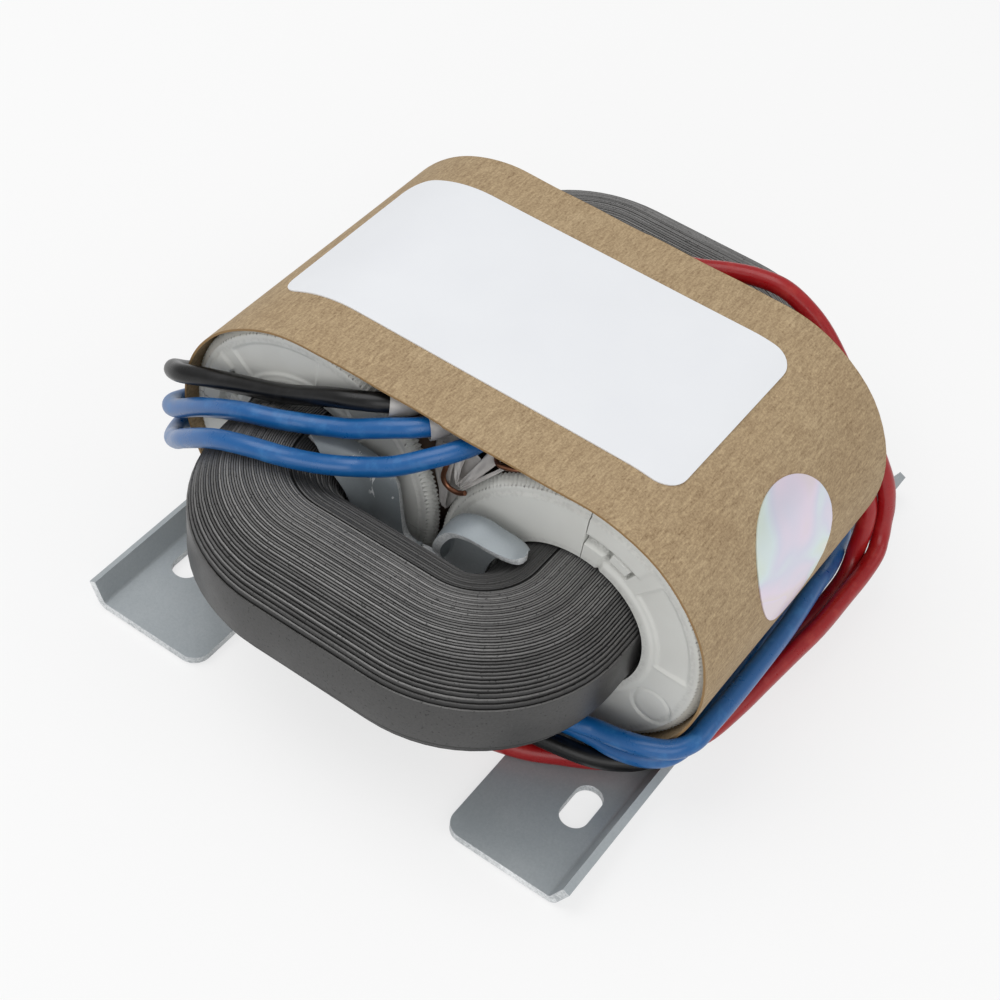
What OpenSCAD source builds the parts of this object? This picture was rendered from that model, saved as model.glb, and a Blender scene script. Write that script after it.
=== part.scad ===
/* [Core] */
// Diameter of the round section that the strip edges follow
core_section_d = 19; // [15:0.5:24]
// Width of the narrowest strips, the first and last turns
strip_min_w = 6.4; // [3:0.1:8]
// Number of strip steps that show across the section
strip_steps = 30; // [10:1:40]
// Length of the core's window along the legs
window_l = 48.5; // [48.5:0.5:70]
// Inner corner radius of the first turn
core_corner_r = 1.2; // [0.5:0.1:3]
// How far the core sits towards the front of the bracket
core_forward = 1; // [0:0.1:1.2]

/* [Bobbins] */
// Radial clearance between the core and the bobbin's bore
bore_clearance = 0.25; // [0.1:0.05:0.6]
// Wall of the bobbin's barrel
barrel_wall = 1.2; // [0.8:0.1:2]
// Thickness of a flange
flange_t = 1.8; // [1.2:0.1:3]
// Height of the flange's rim above the outer tape
flange_rim = 0.85; // [0.7:0.05:2]
// Teeth round one flange
tooth_count = 180; // [90:2:200]
// Depth of a tooth
tooth_depth = 0.45; // [0.2:0.05:0.6]
// Gap between the two bobbins' flanges
flange_gap = 0.8; // [0.4:0.1:4]
// Room between a flange and the yoke, with the core in the middle
window_end_gap = 4.05; // [4:0.05:7]
// Height of the raised pads and ribs on the flange faces
face_relief = 0.3; // [0.2:0.05:0.5]
// Angle of the right bobbin's catch joint, seen from the front
right_joint_a = 88; // [0:1:359]
// Angle of the left bobbin's catch joint, seen from the front
left_joint_a = 178; // [0:1:359]

/* [Windings] */
// Radial build of the primary winding
primary_build = 2.6; // [1.5:0.1:4]
// Radial build of the secondary winding
secondary_build = 2.4; // [1.5:0.1:4]
// Thickness of an insulation layer
tape_t = 0.3; // [0.15:0.05:0.6]

/* [Paper] */
// Thickness of the paper wrap
wrap_t = 0.4; // [0.2:0.05:0.8]
// Length of wrap that stands out past each flange
wrap_overhang = 0.9; // [0:0.1:1.2]
// Length of the rating label along the legs
label_l = 27; // [15:1:32]
// Width of the rating label across the coils, seen from above
label_w = 52.8; // [30:0.1:54]
// Sideways offset of the label's middle
label_shift = 2.5; // [-5:0.1:5]
// Corner radius of the label
label_corner_r = 3; // [1:0.5:6]
// Diameter of the round sticker
sticker_d = 16.5; // [8:0.5:18]
// Height angle of the sticker's middle on the curved side
sticker_a = 21; // [10:1:30]
// Thickness of the label and of the sticker
label_t = 0.15; // [0.1:0.05:0.3]

/* [Bracket] */
// Thickness of the sheet
sheet_t = 1; // [0.6:0.1:1.2]
// Inner radius of the bends
bend_r = 0.5; // [0.3:0.1:0.8]
// Distance from a leg's centre line out to the lip's bend
rail_offset = 13.7; // [12:0.1:20]
// Width of a foot, from its inner edge to the lip's bend
foot_w = 14; // [10:0.1:16]
// How far the feet end short of the core
foot_setback = 1.8; // [0:0.1:4]
// Corner radius at the front of a foot
foot_corner_r = 2.2; // [1:0.1:4]
// Width of a mounting slot
slot_w = 3.5; // [2.5:0.1:4.5]
// Overall length of a mounting slot
slot_l = 6.3; // [5:0.1:9]
// Distance from the foot's end to the slot's middle
slot_end = 11.9; // [8:0.1:13]
// Distance from the lip's bend to the slot's middle
slot_side = 3.3; // [3:0.1:6]
// Length of the lip past its bend
lip_l = 2.8; // [1:0.1:3]
// Angle through which the lip is bent up
lip_a = 64; // [30:1:90]

/* [Clamp] */
// Gap between the wrap's end and the start of a tongue's bend
tongue_wrap_gap = 0.15; // [0.1:0.05:0.4]
// Gap between a tongue and the legs
tongue_side_gap = 0.9; // [0.7:0.1:2]
// Height of the folded ears over the core's centre plane
ear_top = 10; // [9.8:0.1:10.2]
// How far an ear reaches out over a leg
ear_reach = 4.2; // [2:0.1:6]
// Radius at the lower outer corner of an ear
ear_corner_r = 1.8; // [0.8:0.1:2.4]
// Radius at the tip of an ear, seen from above
ear_tip_r = 2.6; // [1:0.1:3]
// Inner radius of the ears' fold
fold_r = 0.6; // [0.4:0.1:1]
// Length of the flat part of an ear past its fold
tab_l = 1.9; // [1:0.1:2]
// Radius at the bottom of the notch between the ears
notch_r = 1.7; // [1:0.1:2.5]
// Half width of the notch where its sides turn steep
notch_shoulder = 3.8; // [2.5:0.1:4.4]
// Half width of the notch at the ears' crest
notch_top = 4.7; // [3:0.1:5]

/* [Leads] */
// Outer diameter of a lead
lead_d = 2.3; // [1.6:0.1:2.4]
// Outer diameter of a joint's sleeve
sleeve_d = 3.2; // [2.6:0.1:3.4]
// Length of a joint's sleeve
sleeve_l = 12; // [6:1:14]

/* [Hidden] */
$fn = 96;

// Small clearances between pieces that fit together
layer_gap = 0.05;
wrap_gap = 0.1;
glue_gap = 0.02;
joint_gap = 0.1;
ear_gap = 0.2;
sleeve_gap = 0.2;

// Core: radial build and the window's width follow from the section and the coils
core_r = core_section_d / 2;
core_build = sqrt(core_section_d * core_section_d - strip_min_w * strip_min_w);
bore_r = core_r + bore_clearance;
barrel_r = bore_r + barrel_wall;
primary_r = barrel_r + layer_gap + primary_build;
interlayer_r = primary_r + layer_gap + tape_t;
secondary_r = interlayer_r + layer_gap + secondary_build;
coil_r = secondary_r + layer_gap + tape_t;
flange_r = coil_r + flange_rim;
leg_y = flange_r + flange_gap / 2;
window_w = 2 * leg_y - core_build;
core_half_l = window_l / 2 + core_build;

// Wrap, and the height at which it carries the core
wrap_r_in = flange_r + wrap_gap;
wrap_r = wrap_r_in + wrap_t;
core_z = sheet_t + wrap_r;
bobbin_l = window_l - 2 * window_end_gap;
wrap_l = bobbin_l + 2 * wrap_overhang;
label_x = 0.7;
sticker_x = -1;

// Bracket: places in the plate
foot_end = core_half_l - foot_setback;
rail_y = leg_y + rail_offset;
web_end = wrap_l / 2 + tongue_wrap_gap;
tongue_x = web_end + bend_r;
tongue_root = 2;
bend_steps = 8;
tongue_y = window_w / 2 - tongue_side_gap;
slot_x = foot_end - slot_end;
slot_y = rail_y - slot_side;
fold_z = core_z + ear_top - fold_r - sheet_t;
ear_y = window_w / 2 + ear_reach;
ear_front = tongue_x + sheet_t + fold_r + tab_l;
notch_rise = 1.4;
notch_z = core_z + notch_rise;
notch_shoulder_z = core_z + core_r / 2;

// Bobbin face details, as angles back from the catch joint and radii
pad_sweep = 52;
bead_w = 1.3;
face_margin = 1.6;
frame_from = 39;
frame_to = 89;
frame_rib = 0.4;
frame_end_a = 2;
gate_back = 118;
gate_r = 2;
gate_out = 0.5;
latch_back = 16;
latch_w = 2.6;
latch_h = 1.5;

// Sleeves lie side by side under the top of the wrap
sleeve_z = core_z + wrap_r_in - sleeve_gap - sleeve_d / 2;
sleeve_inset = 4.2;
sleeve_end = bobbin_l / 2 - sleeve_inset;
secondary_sleeve_y = [5.5, 1, -3.5];
primary_sleeve_y = [1.5, -3];

// Leads: hand-laid route points from the joint's sleeve to the bare end
lead_sides = 8;
lead_rings_per_span = 3;
black_route = [
  [-16, 5.5, 35], [-17.6, 5.6, 35], [-19.4, 6.7, 35], [-20.8, 8.6, 35], [-21.6, 11, 34.4],
  [-22, 14, 33.2], [-22.1, 20.3, 29.8], [-22.3, 26.8, 27.3], [-22.7, 31.4, 25.8], [-22.7, 35.2, 24.1],
  [-20.6, 38, 21.6], [-17, 38.3, 18.6], [-12, 37.9, 16.6], [-4, 37.8, 15.4], [6, 37.6, 14.4],
  [14, 37.5, 13.6], [19.4, 37.4, 12.6], [23.1, 34, 10.9], [24.4, 27, 7.2], [24.8, 18, 4.6],
  [24.8, 8, 3.6], [24.8, -8, 3.4], [24.8, -18, 3.4], [24, -25, 3], [21.4, -29.2, 2.7], [16, -30.2, 2.8],
  [6, -30.8, 3.8], [-5, -32.4, 6], [-12, -33.4, 7.4], [-16.4, -33.8, 7.6], [-19.6, -33.3, 7],
  [-21.6, -31.7, 5.5], [-23.2, -29.4, 4.8], [-24.6, -26.6, 4.7], [-25.5, -23.4, 4.8], [-26.2, -19, 4.8],
  [-26.6, -12.5, 4.6]
];
blue_route_1 = [
  [-16, 1, 35], [-17.8, 1.1, 35], [-19.6, 1.8, 35], [-21.1, 3.3, 34.8], [-22.1, 5.6, 34],
  [-22.8, 8, 32.9], [-23.4, 10.5, 31.7], [-24.4, 14.6, 30.4], [-26, 18.4, 30], [-26.6, 22.9, 28.7],
  [-25.4, 29.5, 24.2], [-23.1, 35.6, 18.4], [-20.6, 38.2, 15.9], [-16, 38.2, 14], [-9, 37.7, 12.8],
  [4, 37.3, 11.4], [14, 36.6, 10], [19.6, 35.8, 8.8], [23.6, 33, 6.9], [27.6, 27.6, 5.7],
  [29.6, 19, 3.8], [29.9, 8, 3], [29.9, -8, 3], [29.8, -18, 3.6], [28.6, -26.6, 4.9], [25.2, -32, 5.5],
  [21, -33.6, 5.7], [16.6, -34.5, 6.5], [11, -35.1, 8.4], [1.4, -36, 9.7], [-10.8, -36.5, 11.4],
  [-17.2, -36.5, 12], [-20.2, -36.2, 11.4], [-22.2, -34.7, 10.7], [-23.4, -32, 10.2], [-23.9, -29, 9.6],
  [-24.1, -26.4, 9.2], [-24.6, -24, 9], [-25, -19, 8.2], [-25.6, -12.5, 7]
];
blue_route_2 = [
  [-16, -3.5, 35], [-18.8, -3.2, 35], [-21.2, -2, 34.7], [-23.3, 0.2, 33.7], [-25, 3.3, 31.9],
  [-26, 7.2, 30], [-28, 10.5, 29.8], [-30, 13.9, 30.2], [-31, 18, 29.8], [-31, 23, 27.7],
  [-29.4, 28.6, 22.8], [-26.2, 32.8, 17.4], [-22.9, 36.2, 13.4], [-19, 37.8, 11.8], [-13, 37.6, 10.8],
  [-6, 37, 9.6], [4, 36.4, 8.2], [14, 35.4, 6.6], [20, 34, 5.6], [24, 30, 4.6], [26.2, 25, 3.8],
  [27.2, 16, 3.2], [27.3, 0, 3], [27.3, -14, 3.2], [26.9, -22, 3.8], [25.2, -28, 4.4], [22, -31, 4.2],
  [17, -32, 4.7], [6, -33, 5.8], [-5, -34.2, 8.2], [-13, -34.9, 9.6], [-17.2, -35.2, 9.8],
  [-19.6, -35.2, 9.2], [-21.7, -34.2, 8.4], [-23, -32, 7.7], [-23.6, -29, 7.2], [-23.5, -26, 6.9],
  [-23.6, -23.4, 6.6], [-23.7, -18, 5.4], [-24, -12, 4.4]
];
red_route_1 = [
  [16, 1.5, 35], [17.8, 1.4, 35], [19.6, 0.6, 34.9], [21.1, -0.9, 34.5], [22.4, -3, 34],
  [23.8, -5.8, 33.7], [25.2, -9, 34.1], [26.2, -12.4, 34.5], [26.5, -16, 34.6], [26.4, -19.4, 33.5],
  [26, -22.6, 31.7], [25, -26.5, 28.6], [24, -30.5, 24.6], [23.6, -33.6, 20.8], [23.9, -35.8, 17],
  [24.2, -36.8, 13.4], [24.1, -37.2, 10.6], [23.4, -37.7, 8.6], [21.8, -38.2, 7.2], [18.6, -38.3, 6.4],
  [14, -38.2, 6.2], [7.4, -38.1, 6.4], [1.5, -37.5, 6.4], [-3.8, -36.9, 6.2], [-9, -36.3, 6],
  [-14, -35.2, 5.4], [-17.4, -33.2, 5.1], [-19.4, -31.2, 4], [-20.9, -29.3, 2.7], [-22.9, -26.7, 2.4],
  [-25.1, -23, 2.4], [-27.2, -19, 2.4], [-29.2, -12.5, 2.4]
];
red_route_2 = [
  [16, -3, 35], [17.6, -3, 35], [19.3, -3.8, 34.9], [20.7, -5.5, 34.4], [21.8, -8, 33.5],
  [23.3, -11, 33], [23.8, -16, 32.4], [23.2, -20.4, 30.4], [22.2, -25, 27.2], [21.8, -30, 22.8],
  [22, -33, 18.4], [22.4, -35.1, 13.8], [22.1, -35.7, 10.4], [21.3, -35.9, 7.2], [20.2, -36.2, 5.2],
  [18, -36.4, 4], [13, -36.3, 3.6], [7.2, -36.1, 4.2], [1, -35.8, 4], [-4, -35.7, 3.8]
];

// Rounded rectangle with its corners as true arcs
module rounded_rect(size, r) {
  square([size.x - 2 * r, size.y], center = true);
  square([size.x, size.y - 2 * r], center = true);
  for (sx = [-1, 1], sy = [-1, 1])
    translate([sx * (size.x / 2 - r), sy * (size.y / 2 - r)])
      circle(r);
}

// Outline of both coils side by side, at a radius about each leg
module coils_outline(r) {
  square([2 * leg_y, 2 * r], center = true);
  for (s = [-1, 1])
    translate([s * leg_y, 0])
      circle(r);
}

// Part of a flat ring between two angles
module ring_sector(r_in, r_out, from_a, to_a) {
  steps = max(2, ceil((to_a - from_a) / 30));
  reach = r_out * 1.2;
  intersection() {
    difference() {
      circle(r_out);
      circle(r_in);
    }
    polygon(concat([[0, 0]], [
      for (i = [0 : steps])
        let (a = from_a + (to_a - from_a) * i / steps)
          reach * [cos(a), sin(a)]
    ]));
  }
}

// Turns a profile drawn across the coils into a bar along the legs
module along_legs(l) {
  translate([-l / 2, 0, core_z])
    rotate([90, 0, 90])
      linear_extrude(l)
        children();
}

// Section of the wound core: a stack of strips whose widths follow a circle
module core_section() {
  step = core_build / strip_steps;
  edges = [for (i = [0 : strip_steps]) -core_build / 2 + i * step];
  half_w = [
    for (i = [0 : strip_steps - 1])
      let (u = max(abs(edges[i]), abs(edges[i + 1])))
        sqrt(core_r * core_r - u * u)
  ];
  upper = [for (i = [0 : strip_steps - 1]) for (k = [0, 1]) [edges[i + k], half_w[i]]];
  lower = [for (i = [2 * strip_steps - 1 : -1 : 0]) [upper[i].x, -upper[i].y]];
  polygon(concat(upper, lower));
}

// Sweeps a section round the core's rounded-rectangle path
module sweep_core_path() {
  leg_l = window_l - 2 * core_corner_r;
  yoke_l = window_w - 2 * core_corner_r;
  yoke_x = (window_l + core_build) / 2;
  translate([-core_forward, 0, core_z]) {
    for (s = [-1, 1]) {
      translate([-leg_l / 2, s * leg_y, 0])
        rotate([90, 0, 90])
          linear_extrude(leg_l)
            children();
      translate([s * yoke_x, yoke_l / 2, 0])
        rotate([90, 0, 0])
          linear_extrude(yoke_l)
            children();
    }
    for (sx = [0, 1], sy = [0, 1])
      mirror([sx, 0, 0])
        mirror([0, sy, 0])
          translate([leg_l / 2, yoke_l / 2, 0])
            rotate_extrude(angle = 90)
              translate([core_corner_r + core_build / 2, 0])
                children();
  }
}

module core() {
  color("#4d4e50")
    sweep_core_path()
      core_section();
}

// Cut-outs of the plate, seen from above: the gaps between the feet, their corners and the slots
module plate_cuts() {
  inner_y = rail_y - foot_w;
  cut_l = foot_end - web_end;
  for (s = [-1, 1])
    translate([s * (web_end + cut_l), 0])
      rounded_rect([2 * cut_l, 2 * inner_y], foot_corner_r);
  for (sx = [-1, 1], sy = [-1, 1]) {
    translate([sx * foot_end, sy * inner_y])
      rounded_corner_cut(-sx, sy, foot_corner_r);
    translate([sx * slot_x, sy * slot_y])
      rounded_rect([slot_l, slot_w], slot_w / 2 - layer_gap);
  }
}

// Takes a square corner down to an arc; sx and sy point from the corner into the sheet
module rounded_corner_cut(sx, sy, r) {
  over = sheet_t;
  difference() {
    translate([sx > 0 ? -over : -r, sy > 0 ? -over : -r])
      square(r + over);
    translate([sx * r, sy * r])
      circle(r);
  }
}

// Section across the rails: the flat plate with a lip bent up along each edge
module plate_section() {
  bend_axis = [rail_y, sheet_t + bend_r];
  angles = [for (i = [0 : bend_steps]) lip_a * i / bend_steps];
  under = [for (a = angles) bend_axis + (bend_r + sheet_t) * [sin(a), -cos(a)]];
  over = [for (i = [bend_steps : -1 : 0]) bend_axis + bend_r * [sin(angles[i]), -cos(angles[i])]];
  tip = lip_l * [cos(lip_a), sin(lip_a)];
  side = concat(under, [under[bend_steps] + tip, over[0] + tip], over);
  polygon(concat(side, [for (i = [len(side) - 1 : -1 : 0]) [-side[i].x, side[i].y]]));
}

// Points of an arc in a profile, about a centre
function arc(centre, r, from_a, to_a) = [
  for (i = [0 : bend_steps])
    let (a = from_a + (to_a - from_a) * i / bend_steps)
      centre + r * [cos(a), sin(a)]
];

// Profile of a tongue: bent up from the web, standing in the window and folded level over the yoke
module tongue_profile() {
  root = [web_end, sheet_t + bend_r];
  fold = [tongue_x + sheet_t + fold_r, fold_z];
  tab_end = ear_front + sheet_t;
  polygon(concat(
    [[web_end - tongue_root, 0]],
    arc(root, bend_r + sheet_t, -90, 0),
    arc(fold, fold_r, 180, 90),
    [[tab_end, fold_z + fold_r], [tab_end, fold_z + fold_r + sheet_t]],
    arc(fold, fold_r + sheet_t, 90, 180),
    arc(root, bend_r, 0, -90),
    [[web_end - tongue_root, sheet_t]]
  ));
}

// Face-on outline of a tongue: a stem that fits the window, and two ears parted by a notch
module tongue_outline() {
  head_z = core_z + core_r / 2;
  ear_z = core_z + ear_top;
  top = ear_z + 2 * ear_corner_r;
  difference() {
    union() {
      translate([-tongue_y, -sheet_t])
        square([2 * tongue_y, top + sheet_t]);
      translate([0, (head_z + top) / 2])
        rounded_rect([2 * ear_y, top - head_z], ear_corner_r);
    }
    translate([0, notch_z])
      circle(notch_r);
    for (s = [-1, 1])
      polygon([
        [0, notch_z], [s * notch_r, notch_z], [s * notch_shoulder, notch_shoulder_z],
        [s * notch_top, ear_z], [s * notch_top, top + sheet_t], [0, top + sheet_t]
      ]);
  }
}

module tongue() {
  intersection() {
    translate([0, ear_y, 0])
      rotate([90, 0, 0])
        linear_extrude(2 * ear_y)
          tongue_profile();
    rotate([90, 0, 90])
      linear_extrude(ear_front + sheet_t)
        tongue_outline();
    translate([0, 0, -sheet_t])
      linear_extrude(core_z + ear_top + 2 * sheet_t)
        rounded_rect([2 * ear_front, 2 * ear_y], ear_tip_r);
  }
}

module base_bracket() {
  color("#7d868c") {
    difference() {
      translate([-foot_end, 0, 0])
        rotate([90, 0, 90])
          linear_extrude(2 * foot_end)
            plate_section();
      translate([0, 0, -sheet_t])
        linear_extrude(3 * sheet_t)
          plate_cuts();
    }
    difference() {
      for (s = [0, 1])
        mirror([s, 0, 0])
          tongue();
      sweep_core_path()
        circle(core_r + ear_gap);
    }
  }
}

// Toothed outline of a flange
module flange_outline() {
  polygon([
    for (i = [0 : 2 * tooth_count - 1])
      let (a = i * 180 / tooth_count, r = flange_r - (i % 2) * tooth_depth)
        r * [cos(a), sin(a)]
  ]);
}

// Half plane on which one bobbin half lies
module half_plane() {
  translate([-2 * flange_r, joint_gap / 2])
    square([4 * flange_r, 2 * flange_r]);
}

// Raised relief of a flange's outer face, with its catch at 180 degrees and its hook at 0
module flange_relief() {
  frame_in = bore_r + bead_w + frame_rib;
  frame_out = flange_r - face_margin - frame_rib;
  ring_sector(bore_r, flange_r - face_margin, 0, pad_sweep);
  ring_sector(bore_r, bore_r + bead_w, pad_sweep, 180 - latch_back / 2);
  difference() {
    ring_sector(frame_in, frame_out, 180 - frame_to, 180 - frame_from);
    ring_sector(
      frame_in + frame_rib, frame_out - frame_rib,
      180 - frame_to + frame_end_a, 180 - frame_from - frame_end_a
    );
  }
}

// One flange of a bobbin half, its outer face turned to +Z
module half_flange() {
  mid_r = (bore_r + flange_r) / 2;
  difference() {
    union() {
      linear_extrude(flange_t - face_relief)
        intersection() {
          difference() {
            flange_outline();
            circle(bore_r);
          }
          half_plane();
        }
      linear_extrude(flange_t)
        intersection() {
          flange_relief();
          half_plane();
        }
    }
    rotate(180 - gate_back)
      translate([mid_r + gate_out, 0, flange_t - 2 * face_relief])
        cylinder(r = gate_r, h = flange_t);
    rotate(180 - latch_back)
      translate([barrel_r, -latch_w / 2, flange_t - 3 * face_relief])
        cube([latch_h, latch_w, flange_t]);
  }
}

// One moulded half of a bobbin, its axis along Z and its middle at the origin
module bobbin_half() {
  barrel_l = bobbin_l - 2 * flange_t;
  translate([0, 0, -barrel_l / 2])
    linear_extrude(barrel_l)
      intersection() {
        difference() {
          circle(barrel_r);
          circle(bore_r);
        }
        half_plane();
      }
  translate([0, 0, barrel_l / 2])
    half_flange();
  mirror([0, 0, 1])
    translate([0, 0, barrel_l / 2])
      half_flange();
}

// Places a bobbin half on a leg; angles are seen from the front, which is -X
module place_half(leg_side, catch_a) {
  translate([0, leg_side * leg_y, core_z])
    rotate([0, -90, 0])
      rotate(catch_a + 90)
        bobbin_half();
}

module right_bobbin_outer_half() {
  color("#cfd0cc")
    place_half(-1, right_joint_a);
}

module right_bobbin_inner_half() {
  color("#cfd0cc")
    place_half(-1, right_joint_a + 180);
}

module left_bobbin_upper_half() {
  color("#cfd0cc")
    place_half(1, left_joint_a);
}

module left_bobbin_lower_half() {
  color("#cfd0cc")
    place_half(1, left_joint_a + 180);
}

// A wound or wrapped layer on the bobbin of one leg
module layer(leg_side, r_in, r_out) {
  along_legs(bobbin_l - 2 * flange_t - 2 * layer_gap)
    translate([leg_side * leg_y, 0])
      difference() {
        circle(r_out);
        circle(r_in);
      }
}

module right_primary_winding() {
  color("#a5552f")
    layer(-1, barrel_r + layer_gap, primary_r);
}

module left_primary_winding() {
  color("#a5552f")
    layer(1, barrel_r + layer_gap, primary_r);
}

module right_interlayer_tape() {
  color("#d8c98f")
    layer(-1, primary_r + layer_gap, interlayer_r);
}

module left_interlayer_tape() {
  color("#d8c98f")
    layer(1, primary_r + layer_gap, interlayer_r);
}

module right_secondary_winding() {
  color("#a5552f")
    layer(-1, interlayer_r + layer_gap, secondary_r);
}

module left_secondary_winding() {
  color("#a5552f")
    layer(1, interlayer_r + layer_gap, secondary_r);
}

module right_outer_tape() {
  color("#6b4a35")
    layer(-1, secondary_r + layer_gap, coil_r);
}

module left_outer_tape() {
  color("#6b4a35")
    layer(1, secondary_r + layer_gap, coil_r);
}

module kraft_wrap() {
  color("#b3926a")
    along_legs(wrap_l)
      difference() {
        coils_outline(wrap_r);
        coils_outline(wrap_r_in);
      }
}

// Thin skin that lies on the outside of the wrap
module wrap_skin() {
  along_legs(wrap_l)
    difference() {
      coils_outline(wrap_r + glue_gap + label_t);
      coils_outline(wrap_r + glue_gap);
    }
}

module rating_label() {
  color("#e9ebee")
    intersection() {
      wrap_skin();
      translate([label_x, label_shift, core_z])
        linear_extrude(2 * wrap_r)
          rounded_rect([label_l, label_w], label_corner_r);
    }
}

module round_sticker() {
  color("#c9ccd6")
    intersection() {
      wrap_skin();
      translate([sticker_x, -leg_y, core_z])
        rotate([90 - sticker_a, 0, 0])
          cylinder(d = sticker_d, h = 2 * wrap_r);
    }
}

// A row of joint sleeves under the wrap's top, towards one end of the coils
module joint_sleeves(end, places) {
  for (y = places)
    translate([end > 0 ? sleeve_end - sleeve_l : -sleeve_end, y, sleeve_z])
      rotate([0, 90, 0])
        cylinder(d = sleeve_d, h = sleeve_l);
}

module secondary_joint_sleeves() {
  color("#dcdad4")
    joint_sleeves(-1, secondary_sleeve_y);
}

module primary_joint_sleeves() {
  color("#dcdad4")
    joint_sleeves(1, primary_sleeve_y);
}

// Smooth curve through four neighbouring points, between the middle two
function curve(p0, p1, p2, p3, t) =
  (2 * p1 + (p2 - p0) * t + (2 * p0 - 5 * p1 + 4 * p2 - p3) * t * t
    + (3 * p1 - p0 - 3 * p2 + p3) * t * t * t) / 2;

// Ring centres along a route, a few to each span
function route_points(p) =
  let (last = len(p) - 1)
    concat([
      for (i = [0 : last - 1])
        for (k = [0 : lead_rings_per_span - 1])
          curve(p[max(i - 1, 0)], p[i], p[i + 1], p[min(i + 2, last)], k / lead_rings_per_span)
    ], [p[last]]);

// Direction of a route at one of its ring centres
function heading(p, i) =
  let (d = p[min(i + 1, len(p) - 1)] - p[max(i - 1, 0)])
    d / norm(d);

// Round tube swept along a route; its first ring is square to the legs, against the sleeve
module lead(route) {
  c = route_points(route);
  n = lead_sides;
  rings = len(c);
  points = [
    for (i = [0 : rings - 1])
      let (
        t = i == 0 ? [sign(route[1].x - route[0].x), 0, 0] : heading(c, i),
        s = cross([0, 0, 1], t), u = s / norm(s), v = cross(t, u)
      )
        for (k = [0 : n - 1])
          c[i] + lead_d / 2 * (cos(k * 360 / n) * u + sin(k * 360 / n) * v)
  ];
  sides = [
    for (i = [0 : rings - 2])
      for (k = [0 : n - 1])
        [i * n + k, (i + 1) * n + k, (i + 1) * n + (k + 1) % n, i * n + (k + 1) % n]
  ];
  first = [for (k = [0 : n - 1]) k];
  final = [for (k = [n - 1 : -1 : 0]) (rings - 1) * n + k];
  polyhedron(points, concat([first], sides, [final]));
}

module black_lead() {
  color("#1d1d1f")
    lead(black_route);
}

module blue_lead_1() {
  color("#2e6fb7")
    lead(blue_route_1);
}

module blue_lead_2() {
  color("#2e6fb7")
    lead(blue_route_2);
}

module red_lead_1() {
  color("#b02c2a")
    lead(red_route_1);
}

module red_lead_2() {
  color("#b02c2a")
    lead(red_route_2);
}

core();
base_bracket();
right_bobbin_outer_half();
right_bobbin_inner_half();
left_bobbin_upper_half();
left_bobbin_lower_half();
right_primary_winding();
left_primary_winding();
right_interlayer_tape();
left_interlayer_tape();
right_secondary_winding();
left_secondary_winding();
right_outer_tape();
left_outer_tape();
kraft_wrap();
rating_label();
round_sticker();
secondary_joint_sleeves();
primary_joint_sleeves();
black_lead();
blue_lead_1();
blue_lead_2();
red_lead_1();
red_lead_2();
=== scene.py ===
import math

import bmesh
import bpy
import numpy as np
from mathutils import Matrix, Vector


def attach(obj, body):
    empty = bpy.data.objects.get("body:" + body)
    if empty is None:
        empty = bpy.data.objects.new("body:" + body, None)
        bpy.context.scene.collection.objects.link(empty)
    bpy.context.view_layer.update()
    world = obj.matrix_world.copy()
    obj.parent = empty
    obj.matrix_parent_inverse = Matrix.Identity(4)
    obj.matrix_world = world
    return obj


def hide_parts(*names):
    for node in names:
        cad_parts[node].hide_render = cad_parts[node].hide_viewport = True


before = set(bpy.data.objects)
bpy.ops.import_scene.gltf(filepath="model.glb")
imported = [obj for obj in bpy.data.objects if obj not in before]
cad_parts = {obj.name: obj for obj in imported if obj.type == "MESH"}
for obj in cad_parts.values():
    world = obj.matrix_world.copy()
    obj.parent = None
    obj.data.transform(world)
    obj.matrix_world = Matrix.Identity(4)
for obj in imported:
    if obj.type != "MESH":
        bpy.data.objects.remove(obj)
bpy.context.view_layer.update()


# Core
# One uncut ring wound from silicon-steel strip whose width grows and shrinks again, so that its
# section is round. The turns are varnished together, and the strip's cut edges show as fine lines.

core_z, core_r, core_build, core_forward = 19.1, 9.5, 17.89, 1.0
window_l, window_w, window_corner_r = 48.5, 18.11, 1.2
strips, inner_turns_l = 66, 6.6
strip_uneven, tight_groove, open_groove, gap_depth = 0.07, 0.05, (0.12, 0.24), 0.22


def linear(hex_code):
    """Linear RGBA of an sRGB hex colour."""
    c = np.array([int(hex_code[i:i + 2], 16) for i in (1, 3, 5)]) / 255
    return (*np.where(c <= 0.04045, c / 12.92, ((c + 0.055) / 1.055) ** 2.4), 1.0)


def add(tree, kind, inputs, **settings):
    """Adds a shader node with its settings; an input is a value or the socket that feeds it."""
    made = tree.nodes.new("ShaderNode" + kind)
    for key, value in settings.items():
        setattr(made, key, value)
    for key, value in inputs.items():
        if isinstance(value, bpy.types.NodeSocket):
            tree.links.new(value, made.inputs[key])
        else:
            made.inputs[key].default_value = value
    return made


def start_material(name, **sockets):
    """A new material with the plain sockets of its surface set; returns it, its tree and its surface."""
    made = bpy.data.materials.new(name)
    made.use_nodes = True
    surface = made.node_tree.nodes["Principled BSDF"]
    for key, value in sockets.items():
        surface.inputs[key.replace("_", " ")].default_value = value
    return made, made.node_tree, surface


def quads(rows, cols, ring_rows=False, ring_cols=False):
    """Corner numbers of the quads of a rows by cols grid, joined up where a direction is a ring."""
    i = np.arange(rows if ring_rows else rows - 1)[:, None]
    j = np.arange(cols if ring_cols else cols - 1)[None, :]
    i2, j2 = (i + 1) % rows, (j + 1) % cols
    corners = np.broadcast_arrays(i * cols + j, i2 * cols + j, i2 * cols + j2, i * cols + j2)
    return np.stack(corners, -1).reshape(-1, 4).tolist()


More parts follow.
